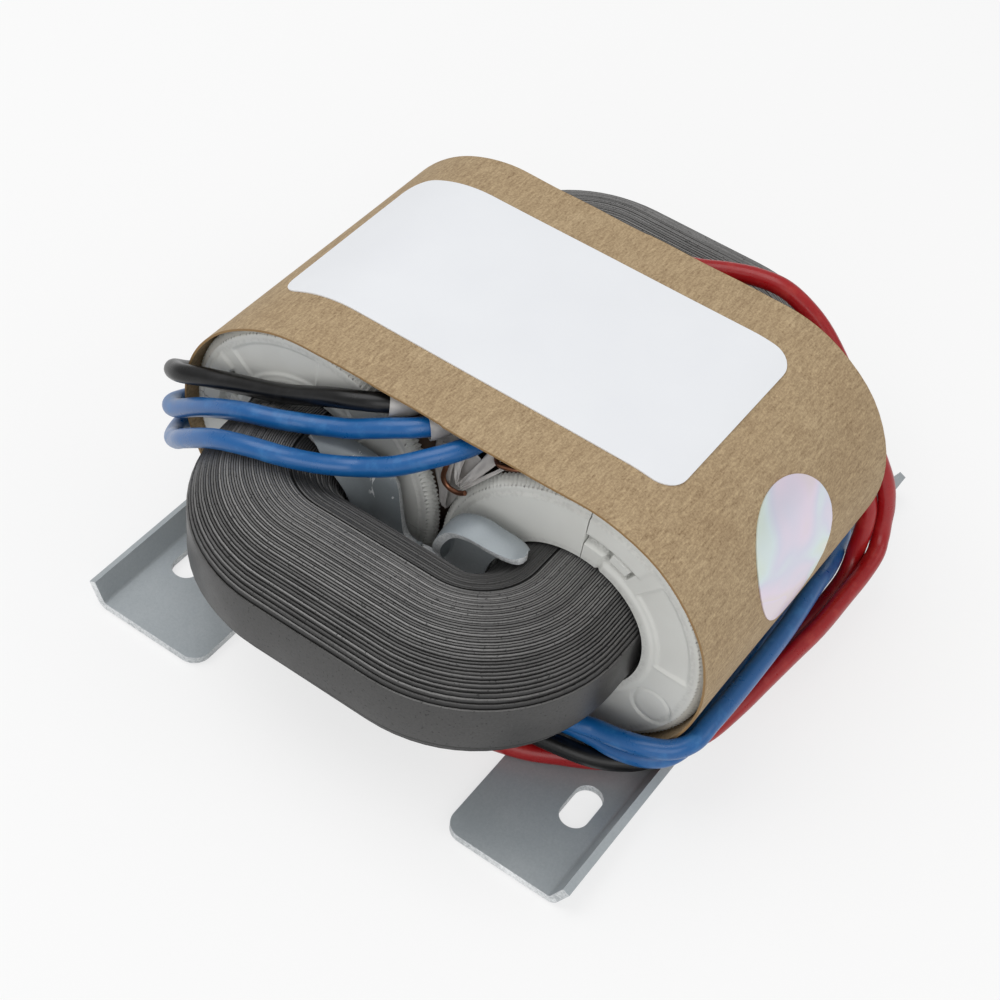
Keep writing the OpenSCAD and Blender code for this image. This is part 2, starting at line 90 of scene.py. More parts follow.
def piece(name, points, faces, slot, finish, crease=40, **attributes):
    """A mesh from points in millimetres, faces turned outwards, smooth up to a crease angle in
    degrees, with one number a point for each attribute. It rides on the root body."""
    mesh = bpy.data.meshes.new(name)
    mesh.from_pydata((np.asarray(points).reshape(-1, 3) * 0.001).tolist(), [], faces)
    for key, values in attributes.items():
        layer = mesh.attributes.new(key, "FLOAT", "POINT")
        layer.data.foreach_set("value", np.asarray(values, np.float32).ravel())
    shell = bmesh.new()
    shell.from_mesh(mesh)
    bmesh.ops.recalc_face_normals(shell, faces=shell.faces)
    shell.to_mesh(mesh)
    shell.free()
    mesh.shade_smooth()
    mesh.set_sharp_from_angle(angle=math.radians(crease))
    mesh.materials.append(finish)
    made = bpy.data.objects.new(name, mesh)
    bpy.context.scene.collection.objects.link(made)
    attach(made, "root")
    return made


def window_path(on_corner=18, on_leg=8, on_yoke=10):
    """Arc centres and outward directions round the window: quarter turns joined by straight runs."""
    a, b = window_l / 2 - window_corner_r, window_w / 2 - window_corner_r
    corners = np.array([(a, b), (-a, b), (-a, -b), (a, -b)])
    turn = np.linspace(0, np.pi / 2, on_corner)
    centres, outward = [], []
    for k in range(4):
        t = turn + k * np.pi / 2
        arc = np.stack([np.cos(t), np.sin(t)], -1)
        run = on_yoke if k % 2 else on_leg
        f = np.linspace(0, 1, run + 2)[1:-1, None]
        centres += [np.tile(corners[k], (on_corner, 1)), (1 - f) * corners[k] + f * corners[(k + 1) % 4]]
        outward += [arc, np.tile(arc[-1], (run, 1))]
    return np.concatenate(centres), np.concatenate(outward)


def core_section():
    """Closed section of the strip stack as offset, height and tone: each strip's edge rises out of
    a groove, is flat, and falls; the half widths follow a circle, each a little uneven. The tone is
    0 in a black seam and 1 on a pale cut edge. A dark gap parts the inner turns from the others."""
    rng = np.random.default_rng(7)
    step = core_build / strips
    edge = -core_build / 2 + step * np.arange(strips + 1)
    half_w = np.sqrt(core_r ** 2 - np.maximum(abs(edge[:-1]), abs(edge[1:])) ** 2)
    half_w = half_w + rng.uniform(-strip_uneven, 0, strips)
    inner = edge[1:] < inner_turns_l - core_build / 2
    groove = np.where(inner, tight_groove, rng.uniform(*open_groove, strips))
    before = np.concatenate([half_w[:1], half_w[:-1]])
    across = edge[:-1, None] + step * np.array([0, 0.12, 0.26, 0.82, 0.96])
    height = half_w[:, None] - np.array([0, 0.05, 0, 0, 0.05])
    height[:, 0] = np.minimum(half_w, before) - groove
    seam = np.where(inner, 0.45, 0)
    tone = np.where(inner, 0.3, 1) * rng.uniform(0.6, 1, strips)
    tone = np.stack([seam * tone, 0.3 * tone, tone, tone, 0.3 * tone], -1)
    gap = inner.sum()
    height[gap, 1:] -= gap_depth
    tone[gap] = 0.09
    u = np.append(across.ravel(), edge[-1])
    z = np.append(height.ravel(), half_w[-1] - 0.1)
    tone = np.append(tone.ravel(), 0.26)
    tone[0] = 0.15
    return tuple(np.concatenate(half) for half in ((u, u[::-1]), (z, -z[::-1]), (tone, tone[::-1])))


# Varnished silicon steel: a dark satin grey, pale on the cut edges of the strip and near black in
# the seams between the turns. The outer turn is smooth and gives a soft, cool reflection.
core_steel, tree, surface = start_material("varnished_strip_steel", Metallic=0.3)
tone = add(tree, "Attribute", {}, attribute_name="tone").outputs["Fac"]
place = add(tree, "TexCoord", {}).outputs["Object"]
cloud = add(tree, "TexNoise", {"Vector": place, "Scale": 1000 / 5, "Detail": 5.0}).outputs["Fac"]
speck = add(tree, "TexNoise", {"Vector": place, "Scale": 1000 / 0.3, "Detail": 3.0}).outputs["Fac"]
shade = add(tree, "Math", {0: cloud, 1: speck}, operation="ADD").outputs[0]
shade = add(tree, "MapRange", {"Value": shade, "From Min": 0.7, "From Max": 1.3,
                               "To Min": 0.75, "To Max": 1.1})
shade = add(tree, "Math", {0: tone, 1: shade.outputs[0]}, operation="MULTIPLY").outputs[0]
pit = add(tree, "TexNoise", {"Vector": place, "Scale": 1000 / 0.35, "Detail": 1.0}).outputs["Fac"]
pit = add(tree, "MapRange", {"Value": pit, "From Min": 0.66, "From Max": 0.72,
                             "To Min": 1.0, "To Max": 0.35})
shade = add(tree, "Math", {0: shade, 1: pit.outputs[0]}, operation="MULTIPLY").outputs[0]
colour = add(tree, "Mix", {0: shade, 6: linear("#191919"), 7: linear("#828180")},
             data_type="RGBA").outputs[2]
tree.links.new(colour, surface.inputs["Base Color"])
gloss = add(tree, "MapRange", {"Value": cloud, "From Min": 0.3, "From Max": 0.7,
                               "To Min": 0.36, "To Max": 0.52})
tree.links.new(gloss.outputs[0], surface.inputs["Roughness"])
bump = add(tree, "Bump", {"Height": speck, "Strength": 0.15, "Distance": 0.0001})
tree.links.new(bump.outputs[0], surface.inputs["Normal"])

centres, outward = window_path()
across, height, tone = core_section()
reach = window_corner_r + core_build / 2 + across
flat = centres[:, None] + reach[None, :, None] * outward[:, None]
wander = np.linspace(0, 2 * np.pi, len(centres), endpoint=False)[:, None]
wave = 0.04 * np.sin(3 * wander + 9 * across) * np.sign(height) * (abs(across) < 0.49 * core_build)
points = np.stack([flat[..., 0] - core_forward, flat[..., 1], core_z + height + wave], -1)
core = piece("wound_core", points, quads(len(centres), len(across), True, True), "core_steel",
             core_steel, crease=35, tone=np.broadcast_to(tone, points.shape[:2]))
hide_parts("core")


# Bobbins
# Each leg carries a bobbin of two moulded off-white halves that hook and snap together round the
# core. The rims are toothed for the winding machine, and handling leaves grime between the teeth.

leg_y, bobbin_l = 18.0, 40.4
bore_r, barrel_r, flange_r, flange_t = 9.75, 10.95, 17.6, 1.8
face_relief, rim_bevel, tooth_depth, teeth = 0.3, 1.15, 0.45, 180


def ramp(x, lo, hi):
    """Smooth step from 0 at lo to 1 at hi."""
    t = np.clip((x - lo) / (hi - lo), 0, 1)
    return t * t * (3 - 2 * t)


def band(x, lo, hi, soft):
    """1 between lo and hi, 0 outside, with edges that are soft wide."""
    return ramp(x, lo - soft / 2, lo + soft / 2) * (1 - ramp(x, hi - soft / 2, hi + soft / 2))


def flange_face(r, a, pad_to, gate_depth):
    """Height and darkening of a flange's face at radius r and angle a, with the hook at 0 and the catch
    at 180 degrees: a proud pad up to an angle, a bead round the bore, a sunk panel, a gate mark of
    some depth and the latch. The darkening is grime in the tooth roots, painted shade in the latch's
    recesses and round the bore, and a darker outer edge and ring inside the rim."""
    pad = band(a, -9, pad_to, 1.2) * band(r, 0, flange_r - 1.7, 0.35)
    bead = band(a, pad_to, 166, 2) * band(r, 0, bore_r + 1.2, 0.6)
    panel = band(a, 91, 141, 2.4) * band(r, bore_r + 1.75, flange_r - 2.1, 0.55)
    panel_edge = band(a, 89.5, 142.5, 2) * band(r, bore_r + 1.5, flange_r - 1.9, 0.4) - panel
    gate = np.hypot(r * np.cos(np.radians(a - 63)) - 13.9, r * np.sin(np.radians(a - 63)))
    gate_dish = band(gate, -1, 2.5, 0.35) - 0.7 * band(gate, -1, 2.2, 0.8)
    outer_bar = band(a, 149, 190, 3) * band(r, 13.5, 15.9, 0.4)
    inner_bar = band(a, 168, 190, 1.6) * band(r, 0, 12.1, 0.35)
    slot = band(a, 166.5, 190, 1.2) * band(r, 12.25, 13.35, 0.3)
    well = band(a, 151.5, 167, 1) * band(r, 11.5, 13.45, 0.3)
    key = band(a, 153, 165, 1) * band(r, 11.75, 13.2, 0.3)
    h = face_relief * (pad + 0.8 * bead + 0.9 * outer_bar + inner_bar)
    h = h - 0.22 * panel + 0.07 * panel_edge
    h = h - gate_depth * gate_dish - 0.5 * slot - 0.75 * well + 0.85 * key
    edge = ramp(r, flange_r - rim_bevel, flange_r + 0.15)
    root = 0.5 + 0.5 * np.cos(np.radians(a) * teeth)
    h = h - 0.85 * edge ** 1.2 - 0.3 * root * band(r, flange_r - 0.85, flange_r + 1, 0.25)
    rng = np.random.default_rng(3)
    darkening = rng.uniform(0, 1, teeth)[(np.floor(a / 360 * teeth + 0.5)).astype(int) % teeth]
    grime = root ** 6 * band(r, flange_r - 0.95, flange_r - 0.85, 0.05) * ramp(darkening, 0.3, 0.6)
    # Besides the grime in the tooth roots: a darker outer edge, painted shade in the latch's well and slot, a
    # faint darker ring inside the rim and painted shade round the bore.
    grime = grime + 0.4 * ramp(r, flange_r - 0.5, flange_r) + 0.5 * (well - key).clip(0) + 0.4 * slot
    grime = grime + 0.14 * band(r, flange_r - 2.0, flange_r - 1.35, 0.4)
    grime = grime + 0.15 * band(r, 0, bore_r + 0.6, 0.4)
    return h, np.clip(grime, 0, 1)


def bobbin_half(side, catch_a, pad_to, gate_depth):
    """One half as a section carried through half a turn: bore, front face, rim, barrel, rim and rear
    face. Its catch lies at catch_a degrees, seen from the front, on the leg of that side."""
    a = np.concatenate([[0.25], np.arange(1, 360) * 0.5, [179.75]])[:, None]
    r = np.concatenate([np.linspace(bore_r, flange_r - 1.2, 46),
                        flange_r - np.array([1.05, 0.9, 0.75, 0.6, 0.45, 0.3, 0.15, 0])])[None, :]
    h, grime = flange_face(r, a, pad_to, gate_depth)
    root = 0.5 + 0.5 * np.cos(np.radians(a) * teeth)
    face_r = r - tooth_depth * root * ramp(r, flange_r - 1, flange_r)
    face_z = bobbin_l / 2 - face_relief + h
    one = np.ones_like(a)
    back_z = (bobbin_l / 2 - flange_t) * one
    rim = face_r[:, -1:]
    rs = np.hstack([face_r, rim, barrel_r * one, barrel_r * one, rim, face_r[:, ::-1]])
    zs = np.hstack([face_z, back_z, back_z, -back_z, -back_z, -face_z[:, ::-1]])
    darkening = np.hstack([grime, 0.3 * one, 0 * one, 0 * one, 0.3 * one, grime[:, ::-1]])
    turn = np.radians(a + catch_a + 180)
    points = np.stack([-zs, side * leg_y - rs * np.cos(turn), core_z + rs * np.sin(turn)], -1)
    rows, cols = rs.shape
    ends = [list(range(cols)), list(range((rows - 1) * cols, rows * cols))]
    return points, quads(rows, cols, False, True) + ends, darkening


# Moulded PBT, off-white: satin, faintly mottled by the mould, with grey grime worked into the teeth and
# painted shade in the latch's recesses and round the bore.
bobbin_plastic, tree, surface = start_material("moulded_pbt_off_white", IOR=1.5)
place = add(tree, "TexCoord", {}).outputs["Object"]
grime = add(tree, "Attribute", {}, attribute_name="grime").outputs["Fac"]
cloud = add(tree, "TexNoise", {"Vector": place, "Scale": 1000 / 6, "Detail": 4.0}).outputs["Fac"]
speck = add(tree, "TexNoise", {"Vector": place, "Scale": 1000 / 0.45, "Detail": 4.0}).outputs["Fac"]
skin = add(tree, "TexNoise", {"Vector": place, "Scale": 1000 / 0.22, "Detail": 2.0}).outputs["Fac"]
base = add(tree, "Mix", {0: cloud, 6: linear("#cfcfca"), 7: linear("#dddeda")},
           data_type="RGBA").outputs[2]
patch = add(tree, "MapRange", {"Value": speck, "From Min": 0.42, "From Max": 0.6,
                               "To Min": 0.3, "To Max": 1.0})
patch = add(tree, "Math", {0: grime, 1: patch.outputs[0]}, operation="MULTIPLY").outputs[0]
# One dark mix draws both the grime and the painted shade.
colour = add(tree, "Mix", {0: patch, 6: base, 7: linear("#34312d")}, data_type="RGBA").outputs[2]
tree.links.new(colour, surface.inputs["Base Color"])
gloss = add(tree, "MapRange", {"Value": speck, "To Min": 0.4, "To Max": 0.58})
tree.links.new(gloss.outputs[0], surface.inputs["Roughness"])
bump = add(tree, "Bump", {"Height": skin, "Strength": 0.12, "Distance": 0.00008})
tree.links.new(bump.outputs[0], surface.inputs["Normal"])

for name, side, catch_a, pad_to, gate_depth in (
        ("right_bobbin_outer_half", -1, 88, 20, 0.3), ("right_bobbin_inner_half", -1, 268, 86, 0.0),
        ("left_bobbin_upper_half", 1, 178, 50, 0.3), ("left_bobbin_lower_half", 1, 358, 50, 0.3)):
    points, faces, darkening = bobbin_half(side, catch_a, pad_to, gate_depth)
    half = piece(name + "_moulding", points, faces, "bobbin_plastic", bobbin_plastic, crease=30,
                 grime=darkening)
    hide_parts(name)


# Windings and their insulation
# Enamelled copper wire wound in layers on each bobbin, with polyester film between the two windings
# and brown film tape over the outer one. They keep their CAD shape, and little of them shows.

# Enamelled copper: amber brown lacquer over metal, ribbed by the turns of the wire.
wire_pitch, wave_unit = 0.5, 20 / np.pi
magnet_wire, tree, surface = start_material("enamelled_copper_wire", Metallic=0.85, Roughness=0.32)
place = add(tree, "TexCoord", {}).outputs["Object"]
cloud = add(tree, "TexNoise", {"Vector": place, "Scale": 1000 / 3, "Detail": 3.0}).outputs["Fac"]
colour = add(tree, "Mix", {0: cloud, 6: linear("#6e4534"), 7: linear("#9a6c52")},
             data_type="RGBA").outputs[2]
tree.links.new(colour, surface.inputs["Base Color"])
turns = add(tree, "TexWave", {"Vector": place, "Scale": 1000 / wire_pitch / wave_unit},
            bands_direction="X")
bump = add(tree, "Bump", {"Height": turns.outputs["Fac"], "Strength": 0.6, "Distance": 0.0002})
tree.links.new(bump.outputs[0], surface.inputs["Normal"])

# Polyester film tape: thin and glossy, with faint wrinkles across its run.
films = {}
for name, dark, pale in (("yellow_polyester_film", "#bba86c", "#dccd98"),
                         ("brown_polyester_tape", "#5d4d42", "#7d6b5c")):
    films[name], tree, surface = start_material(name, Roughness=0.35, IOR=1.6)
    place = add(tree, "TexCoord", {}).outputs["Object"]
    cloud = add(tree, "TexNoise", {"Vector": place, "Scale": 1000 / 4, "Detail": 4.0}).outputs["Fac"]
    colour = add(tree, "Mix", {0: cloud, 6: linear(dark), 7: linear(pale)}, data_type="RGBA").outputs[2]
    tree.links.new(colour, surface.inputs["Base Color"])
    bump = add(tree, "Bump", {"Height": cloud, "Strength": 0.3, "Distance": 0.0003})
    tree.links.new(bump.outputs[0], surface.inputs["Normal"])

for side in ("right", "left"):
    for layer, finish in (("primary_winding", magnet_wire),
                          ("interlayer_tape", films["yellow_polyester_film"]),
                          ("secondary_winding", magnet_wire),
                          ("outer_tape", films["brown_polyester_tape"])):
        node_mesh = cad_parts[f"{side}_{layer}"].data
        node_mesh.materials.clear()
        node_mesh.materials.append(finish)


# Leads
# Five stranded hook-up wires in PVC, 2.3 mm thick: black and two blue for the secondary, two red for
# the primary. From their joints they are laid round the body, and their bare ends lie under the core.

lead_d = 2.3
routes = {
    "black_lead": [
        (-16, 5.5, 35), (-17.6, 5.6, 35), (-19.4, 6.7, 35), (-20.8, 8.6, 35), (-21.6, 11, 34.4),
        (-22, 14, 33.2), (-22.1, 20.3, 29.8), (-22.3, 26.8, 27.3), (-22.7, 31.4, 25.8), (-22.7, 35.2, 24.1),
        (-20.6, 38, 21.6), (-17, 38.3, 18.6), (-12, 37.9, 16.6), (-4, 37.8, 15.4), (6, 37.6, 14.4),
        (14, 37.5, 13.6), (19.4, 37.4, 12.6), (23.1, 34, 10.9), (24.4, 27, 7.2), (24.8, 18, 4.6),
        (24.8, 8, 3.6), (24.8, -8, 3.4), (24.8, -18, 3.4), (24, -25, 3), (21.4, -29.2, 2.7), (16, -30.2, 2.8),
        (6, -30.8, 3.8), (-5, -32.4, 6), (-12, -33.4, 7.4), (-16.4, -33.8, 7.6), (-19.6, -33.3, 7),
        (-21.6, -31.7, 5.5), (-23.2, -29.4, 4.8), (-24.6, -26.6, 4.7), (-25.5, -23.4, 4.8), (-26.2, -19, 4.8),
        (-26.6, -12.5, 4.6)],
    "blue_lead_1": [
        (-16, 1, 35), (-17.8, 1.1, 35), (-19.6, 1.8, 35), (-21.1, 3.3, 34.8), (-22.1, 5.6, 34),
        (-22.8, 8, 32.9), (-23.4, 10.5, 31.7), (-24.4, 14.6, 30.4), (-26, 18.4, 30), (-26.6, 22.9, 28.7),
        (-25.4, 29.5, 24.2), (-23.1, 35.6, 18.4), (-20.6, 38.2, 15.9), (-16, 38.2, 14), (-9, 37.7, 12.8),
        (4, 37.3, 11.4), (14, 36.6, 10), (19.6, 35.8, 8.8), (23.6, 33, 6.9), (27.6, 27.6, 5.7),
        (29.6, 19, 3.8), (29.9, 8, 3), (29.9, -8, 3), (29.8, -18, 3.6), (28.6, -26.6, 4.9), (25.2, -32, 5.5),
        (21, -33.6, 5.7), (16.6, -34.5, 6.5), (11, -35.1, 8.4), (1.4, -36, 9.7), (-10.8, -36.5, 11.4),
        (-17.2, -36.5, 12), (-20.2, -36.2, 11.4), (-22.2, -34.7, 10.7), (-23.4, -32, 10.2), (-23.9, -29, 9.6),
        (-24.1, -26.4, 9.2), (-24.6, -24, 9), (-25, -19, 8.2), (-25.6, -12.5, 7)],
    "blue_lead_2": [
        (-16, -3.5, 35), (-18.8, -3.2, 35), (-21.2, -2, 34.7), (-23.3, 0.2, 33.7), (-25, 3.3, 31.9),
        (-26, 7.2, 30), (-28, 10.5, 29.8), (-30, 13.9, 30.2), (-31, 18, 29.8), (-31, 23, 27.7),
        (-29.4, 28.6, 22.8), (-26.2, 32.8, 17.4), (-22.9, 36.2, 13.4), (-19, 37.8, 11.8), (-13, 37.6, 10.8),
        (-6, 37, 9.6), (4, 36.4, 8.2), (14, 35.4, 6.6), (20, 34, 5.6), (24, 30, 4.6), (26.2, 25, 3.8),
        (27.2, 16, 3.2), (27.3, 0, 3), (27.3, -14, 3.2), (26.9, -22, 3.8), (25.2, -28, 4.4), (22, -31, 4.2),
        (17, -32, 4.7), (6, -33, 5.8), (-5, -34.2, 8.2), (-13, -34.9, 9.6), (-17.2, -35.2, 9.8),
        (-19.6, -35.2, 9.2), (-21.7, -34.2, 8.4), (-23, -32, 7.7), (-23.6, -29, 7.2), (-23.5, -26, 6.9),
        (-23.6, -23.4, 6.6), (-23.7, -18, 5.4), (-24, -12, 4.4)],
    "red_lead_1": [
        (16, 1.5, 35), (17.8, 1.4, 35), (19.6, 0.6, 34.9), (21.1, -0.9, 34.5), (22.4, -3, 34),
        (23.8, -5.8, 33.7), (25.2, -9, 34.1), (26.2, -12.4, 34.5), (26.5, -16, 34.6), (26.4, -19.4, 33.5),
        (26, -22.6, 31.7), (25, -26.5, 28.6), (24, -30.5, 24.6), (23.6, -33.6, 20.8), (23.9, -35.8, 17),
        (24.2, -36.8, 13.4), (24.1, -37.2, 10.6), (23.4, -37.7, 8.6), (21.8, -38.2, 7.2), (18.6, -38.3, 6.4),
        (14, -38.2, 6.2), (7.4, -38.1, 6.4), (1.5, -37.5, 6.4), (-3.8, -36.9, 6.2), (-9, -36.3, 6),
        (-14, -35.2, 5.4), (-17.4, -33.2, 5.1), (-19.4, -31.2, 4), (-20.9, -29.3, 2.7), (-22.9, -26.7, 2.4),
        (-25.1, -23, 2.4), (-27.2, -19, 2.4), (-29.2, -12.5, 2.4)],
    "red_lead_2": [
        (16, -3, 35), (17.6, -3, 35), (19.3, -3.8, 34.9), (20.7, -5.5, 34.4), (21.8, -8, 33.5),
        (23.3, -11, 33), (23.8, -16, 32.4), (23.2, -20.4, 30.4), (22.2, -25, 27.2), (21.8, -30, 22.8),
        (22, -33, 18.4), (22.4, -35.1, 13.8), (22.1, -35.7, 10.4), (21.3, -35.9, 7.2), (20.2, -36.2, 5.2),
        (18, -36.4, 4), (13, -36.3, 3.6), (7.2, -36.1, 4.2), (1, -35.8, 4), (-4, -35.7, 3.8)],
}


def smooth_route(points, per_span):
    """Points of the Catmull-Rom curve through the route, per_span of them to each span."""
    p = np.asarray(points, float)
    q = np.concatenate([p[:1], p, p[-1:]])
    t = np.linspace(0, 1, per_span, endpoint=False).reshape(1, -1, *[1] * (p.ndim - 1))
    a, b, c, d = (q[k:len(q) - 3 + k, None] for k in range(4))
    curve = 2 * b + (c - a) * t + (2 * a - 5 * b + 4 * c - d) * t ** 2
    curve = (curve + (3 * b - a - 3 * c + d) * t ** 3) / 2
    return np.concatenate([curve.reshape(-1, *p.shape[1:]), p[-1:]])


def tube(path, radius, sides, aside=(0, 0, 1)):
    """Rings of points across a path, and the faces of the closed tube that they make."""
    along = np.gradient(path, axis=0)
    along /= np.linalg.norm(along, axis=1, keepdims=True)
    u = np.cross(aside, along)
    u /= np.linalg.norm(u, axis=1, keepdims=True)
    v = np.cross(along, u)
    t = np.linspace(0, 2 * np.pi, sides, endpoint=False)[None, :, None]
    points = path[:, None] + radius * (np.cos(t) * u[:, None] + np.sin(t) * v[:, None])
    n = len(path)
    caps = [list(range(sides)), list(range((n - 1) * sides, n * sides))]
    return points.reshape(-1, 3), quads(n, sides, False, True) + caps


# Soft PVC: even colour and a waxy gloss, with a fine drawn skin and pale rub marks.
pvc = {}
for name, skin, rubbed, ior in (("black", "#0b0b0c", "#262627", 1.42),
                                ("blue", "#0f5896", "#3f84bd", 1.53),
                                ("red", "#9c1116", "#b8443a", 1.47)):
    pvc[name], tree, surface = start_material(f"soft_pvc_{name}", IOR=ior)
    place = add(tree, "TexCoord", {}).outputs["Object"]
    cloud = add(tree, "TexNoise", {"Vector": place, "Scale": 1000 / 2.5, "Detail": 6.0,
                                   "Roughness": 0.65}).outputs["Fac"]
    fine = add(tree, "TexNoise", {"Vector": place, "Scale": 1000 / 0.4, "Detail": 3.0}).outputs["Fac"]
    rub = add(tree, "MapRange", {"Value": cloud, "From Min": 0.52, "From Max": 0.75,
                                 "To Min": 0.0, "To Max": 0.5}).outputs[0]
    colour = add(tree, "Mix", {0: rub, 6: linear(skin), 7: linear(rubbed)}, data_type="RGBA").outputs[2]
    tree.links.new(colour, surface.inputs["Base Color"])
    gloss = add(tree, "MapRange", {"Value": cloud, "From Min": 0.3, "From Max": 0.7,
                                   "To Min": 0.24, "To Max": 0.4})
    tree.links.new(gloss.outputs[0], surface.inputs["Roughness"])
    bump = add(tree, "Bump", {"Height": fine, "Strength": 0.1, "Distance": 0.0001})
    tree.links.new(bump.outputs[0], surface.inputs["Normal"])

# Tinned copper strands: bright, soft metal.
tinned_copper, tree, surface = start_material("tinned_copper_strand", Metallic=1.0, Roughness=0.3)
place = add(tree, "TexCoord", {}).outputs["Object"]
cloud = add(tree, "TexNoise", {"Vector": place, "Scale": 1000 / 0.6, "Detail": 3.0}).outputs["Fac"]
colour = add(tree, "Mix", {0: cloud, 6: linear("#a8a39a"), 7: linear("#d6d3cc")},
             data_type="RGBA").outputs[2]
tree.links.new(colour, surface.inputs["Base Color"])

strand_r, strand_l, strand_hidden_l = 0.62, 3.0, 0.8
for name, route in routes.items():
    colour_name = name.split("_")[0]
    path = smooth_route(route, 8)
    points, faces = tube(path, lead_d / 2, 20)
    lead = piece(name + "_pvc", points, faces, colour_name + "_insulation", pvc[colour_name], crease=50)
    away = (path[-1] - path[-2]) / np.linalg.norm(path[-1] - path[-2])
    tip = path[-1] + np.linspace(-strand_hidden_l, strand_l, 8)[:, None] * away
    points, faces = tube(tip, strand_r, 12)
    strands = piece(name + "_strands", points, faces, colour_name + "_insulation", tinned_copper)
    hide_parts(name)


# Joint sleeves
# Film sleeves pushed over the soldered joints between the leads and the magnet wire. They lie side by
# side under the top of the paper, with loose tails of film and ends of magnet wire in the front gap.

sleeve_r, sleeve_l, sleeve_wall, sleeve_sides = 1.6, 12.0, 0.14, 32
tail_t, wire_r = 0.09, 0.3


def film_sleeve(path):
    """A thin tube along a path, its wall crumpled by a few waves that grow towards its mouth."""
    far = np.linspace(0, 1, len(path))[:, None, None]
    t = np.linspace(0, 2 * np.pi, sleeve_sides, endpoint=False)[None, :, None]
    slack = 0.04 + 0.07 * ramp(far, 0.5, 1)
    r = sleeve_r * (1 - slack * (1 + np.sin(3 * t + 12 * far + path[0, 1]) * np.cos(t - 6 * far)) / 2)
    outer, inner = (tube(path, wall_r, sleeve_sides)[0].reshape(-1, sleeve_sides, 3)
                    for wall_r in (r, r - sleeve_wall))
    points = np.concatenate([outer, inner[::-1]])
    return points.reshape(-1, 3), quads(len(points), sleeve_sides, True, True)


def film_tail(route, widths, crumple):
    """A creased ribbon of film that hangs along a route, with its width at each end."""
    path = smooth_route(route, 8)
    far = np.linspace(0, 1, len(path))[:, None]
    across = np.linspace(-0.5, 0.5, 10)[None, :]
    width = widths[0] + (widths[1] - widths[0]) * far
    fold = crumple * np.sin(9 * across + 5 * far + route[0][1]) * (0.4 + np.cos(7 * far))
    x = path[:, :1] + fold + 0.25 * across * width
    y, z = path[:, 1:2] + across * width, path[:, 2:] + 0.3 * across * width
    return np.stack(np.broadcast_arrays(x, y, z), -1)


# Milky polyester film: pale, glossy and slightly see-through.
sleeve_film, tree, surface = start_material("milky_polyester_film", Roughness=0.3, IOR=1.6,
                                            Transmission_Weight=0.25)
place = add(tree, "TexCoord", {}).outputs["Object"]
cloud = add(tree, "TexNoise", {"Vector": place, "Scale": 1000 / 1.5, "Detail": 3.0}).outputs["Fac"]
colour = add(tree, "Mix", {0: cloud, 6: linear("#a9a4a0"), 7: linear("#d8d5d2")},
             data_type="RGBA").outputs[2]
tree.links.new(colour, surface.inputs["Base Color"])
bump = add(tree, "Bump", {"Height": cloud, "Strength": 0.35, "Distance": 0.0003})
tree.links.new(bump.outputs[0], surface.inputs["Normal"])

# Each sleeve covers its lead up to its mouth, which lies so far from the middle along the legs.
for name, mouths in (
        ("secondary_joint_sleeves", {"black_lead": 20.3, "blue_lead_1": 20.3, "blue_lead_2": 18.4}),
        ("primary_joint_sleeves", {"red_lead_1": 20.3, "red_lead_2": 19.0})):
    points, faces, count = [], [], 0
    for lead_name, mouth_x in mouths.items():
        start = np.array(routes[lead_name][0], float)
        inside = start - np.linspace(sleeve_l, 0, 14)[:-1, None] * (np.sign(start[0]), 0, 0)
        outside = smooth_route(routes[lead_name][:6], 8)
        p, f = film_sleeve(np.vstack([inside, outside[abs(outside[:, 0]) < mouth_x]]))
        faces += (np.array(f) + count).tolist()
        points.append(p)
        count += len(p)
    sleeves = piece(name + "_film", np.concatenate(points), faces, "sleeve_film", sleeve_film)
    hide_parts(name)

tails = [film_tail(route, widths, crumple) for route, widths, crumple in (
    ([(-18, -5.6, 34.6), (-19.4, -5, 33.4), (-20.3, -4, 31.6), (-20.7, -2.9, 29.6)], (1.7, 0.7), 0.12),
    ([(-17.6, -1.6, 33.2), (-19.2, -1.7, 32.2), (-20.2, -2, 30.9), (-20.6, -2.5, 29.5)], (1.5, 0.6), 0.14),
    ([(-18.8, -7, 33.7), (-19.9, -5.6, 32.3), (-20.5, -4.2, 30.7), (-20.8, -3.1, 29.4)], (0.4, 0.5), 0.08),
    ([(-19.2, -0.2, 32.4), (-19.8, -0.3, 30.5), (-19.8, -0.3, 28), (-19.6, -0.2, 25.5),
      (-19.4, -0.2, 23.6)], (2.2, 1.0), 0.06),
    ([(-18.5, -1.2, 34.3), (-18.8, -0.9, 31), (-18.9, -0.1, 28), (-18.8, 0, 25), (-18.7, 0, 22.8)],
     (8.6, 0.6), 0.1))]
points, faces, count = [], [], 0
for tail in tails:
    faces += (np.array(quads(*tail.shape[:2])) + count).tolist()
    points.append(tail.reshape(-1, 3))
    count += len(points[-1])
film_tails = piece("film_tails", np.concatenate(points), faces, "sleeve_film", sleeve_film)
thick = film_tails.modifiers.new("film", "SOLIDIFY")
thick.thickness, thick.offset = tail_t * 0.001, 0

for name, route in (
        ("wire_end_1", [(-17, -0.2, 32.6), (-19.2, -0.4, 32.2), (-20.3, -0.7, 31.3), (-20.6, -0.6, 29.4),
                        (-20.6, -1.3, 28.4), (-20.6, -2.6, 28.3), (-20.6, -3.6, 28.9)]),
        ("wire_end_2", [(-16.5, -5.2, 34.4), (-18.4, -5.6, 34.3), (-19.2, -6.4, 34.2), (-19.3, -7.8, 34.6),
                        (-18.8, -9.2, 35), (-17.4, -10.2, 35.4)])):
    points, faces = tube(smooth_route(route, 8), wire_r, 12)
    piece(name, points, faces, "magnet_wire", magnet_wire)


# Paper wrap
# One band of kraft paper wound round both coils and glued, standing a little past the flanges. Its
# face is fibrous, and its cut edges are darker.

wrap_r, wrap_t, wrap_l = 18.1, 0.28, 42.2
wrap_round = 4 * leg_y + 2 * np.pi * wrap_r


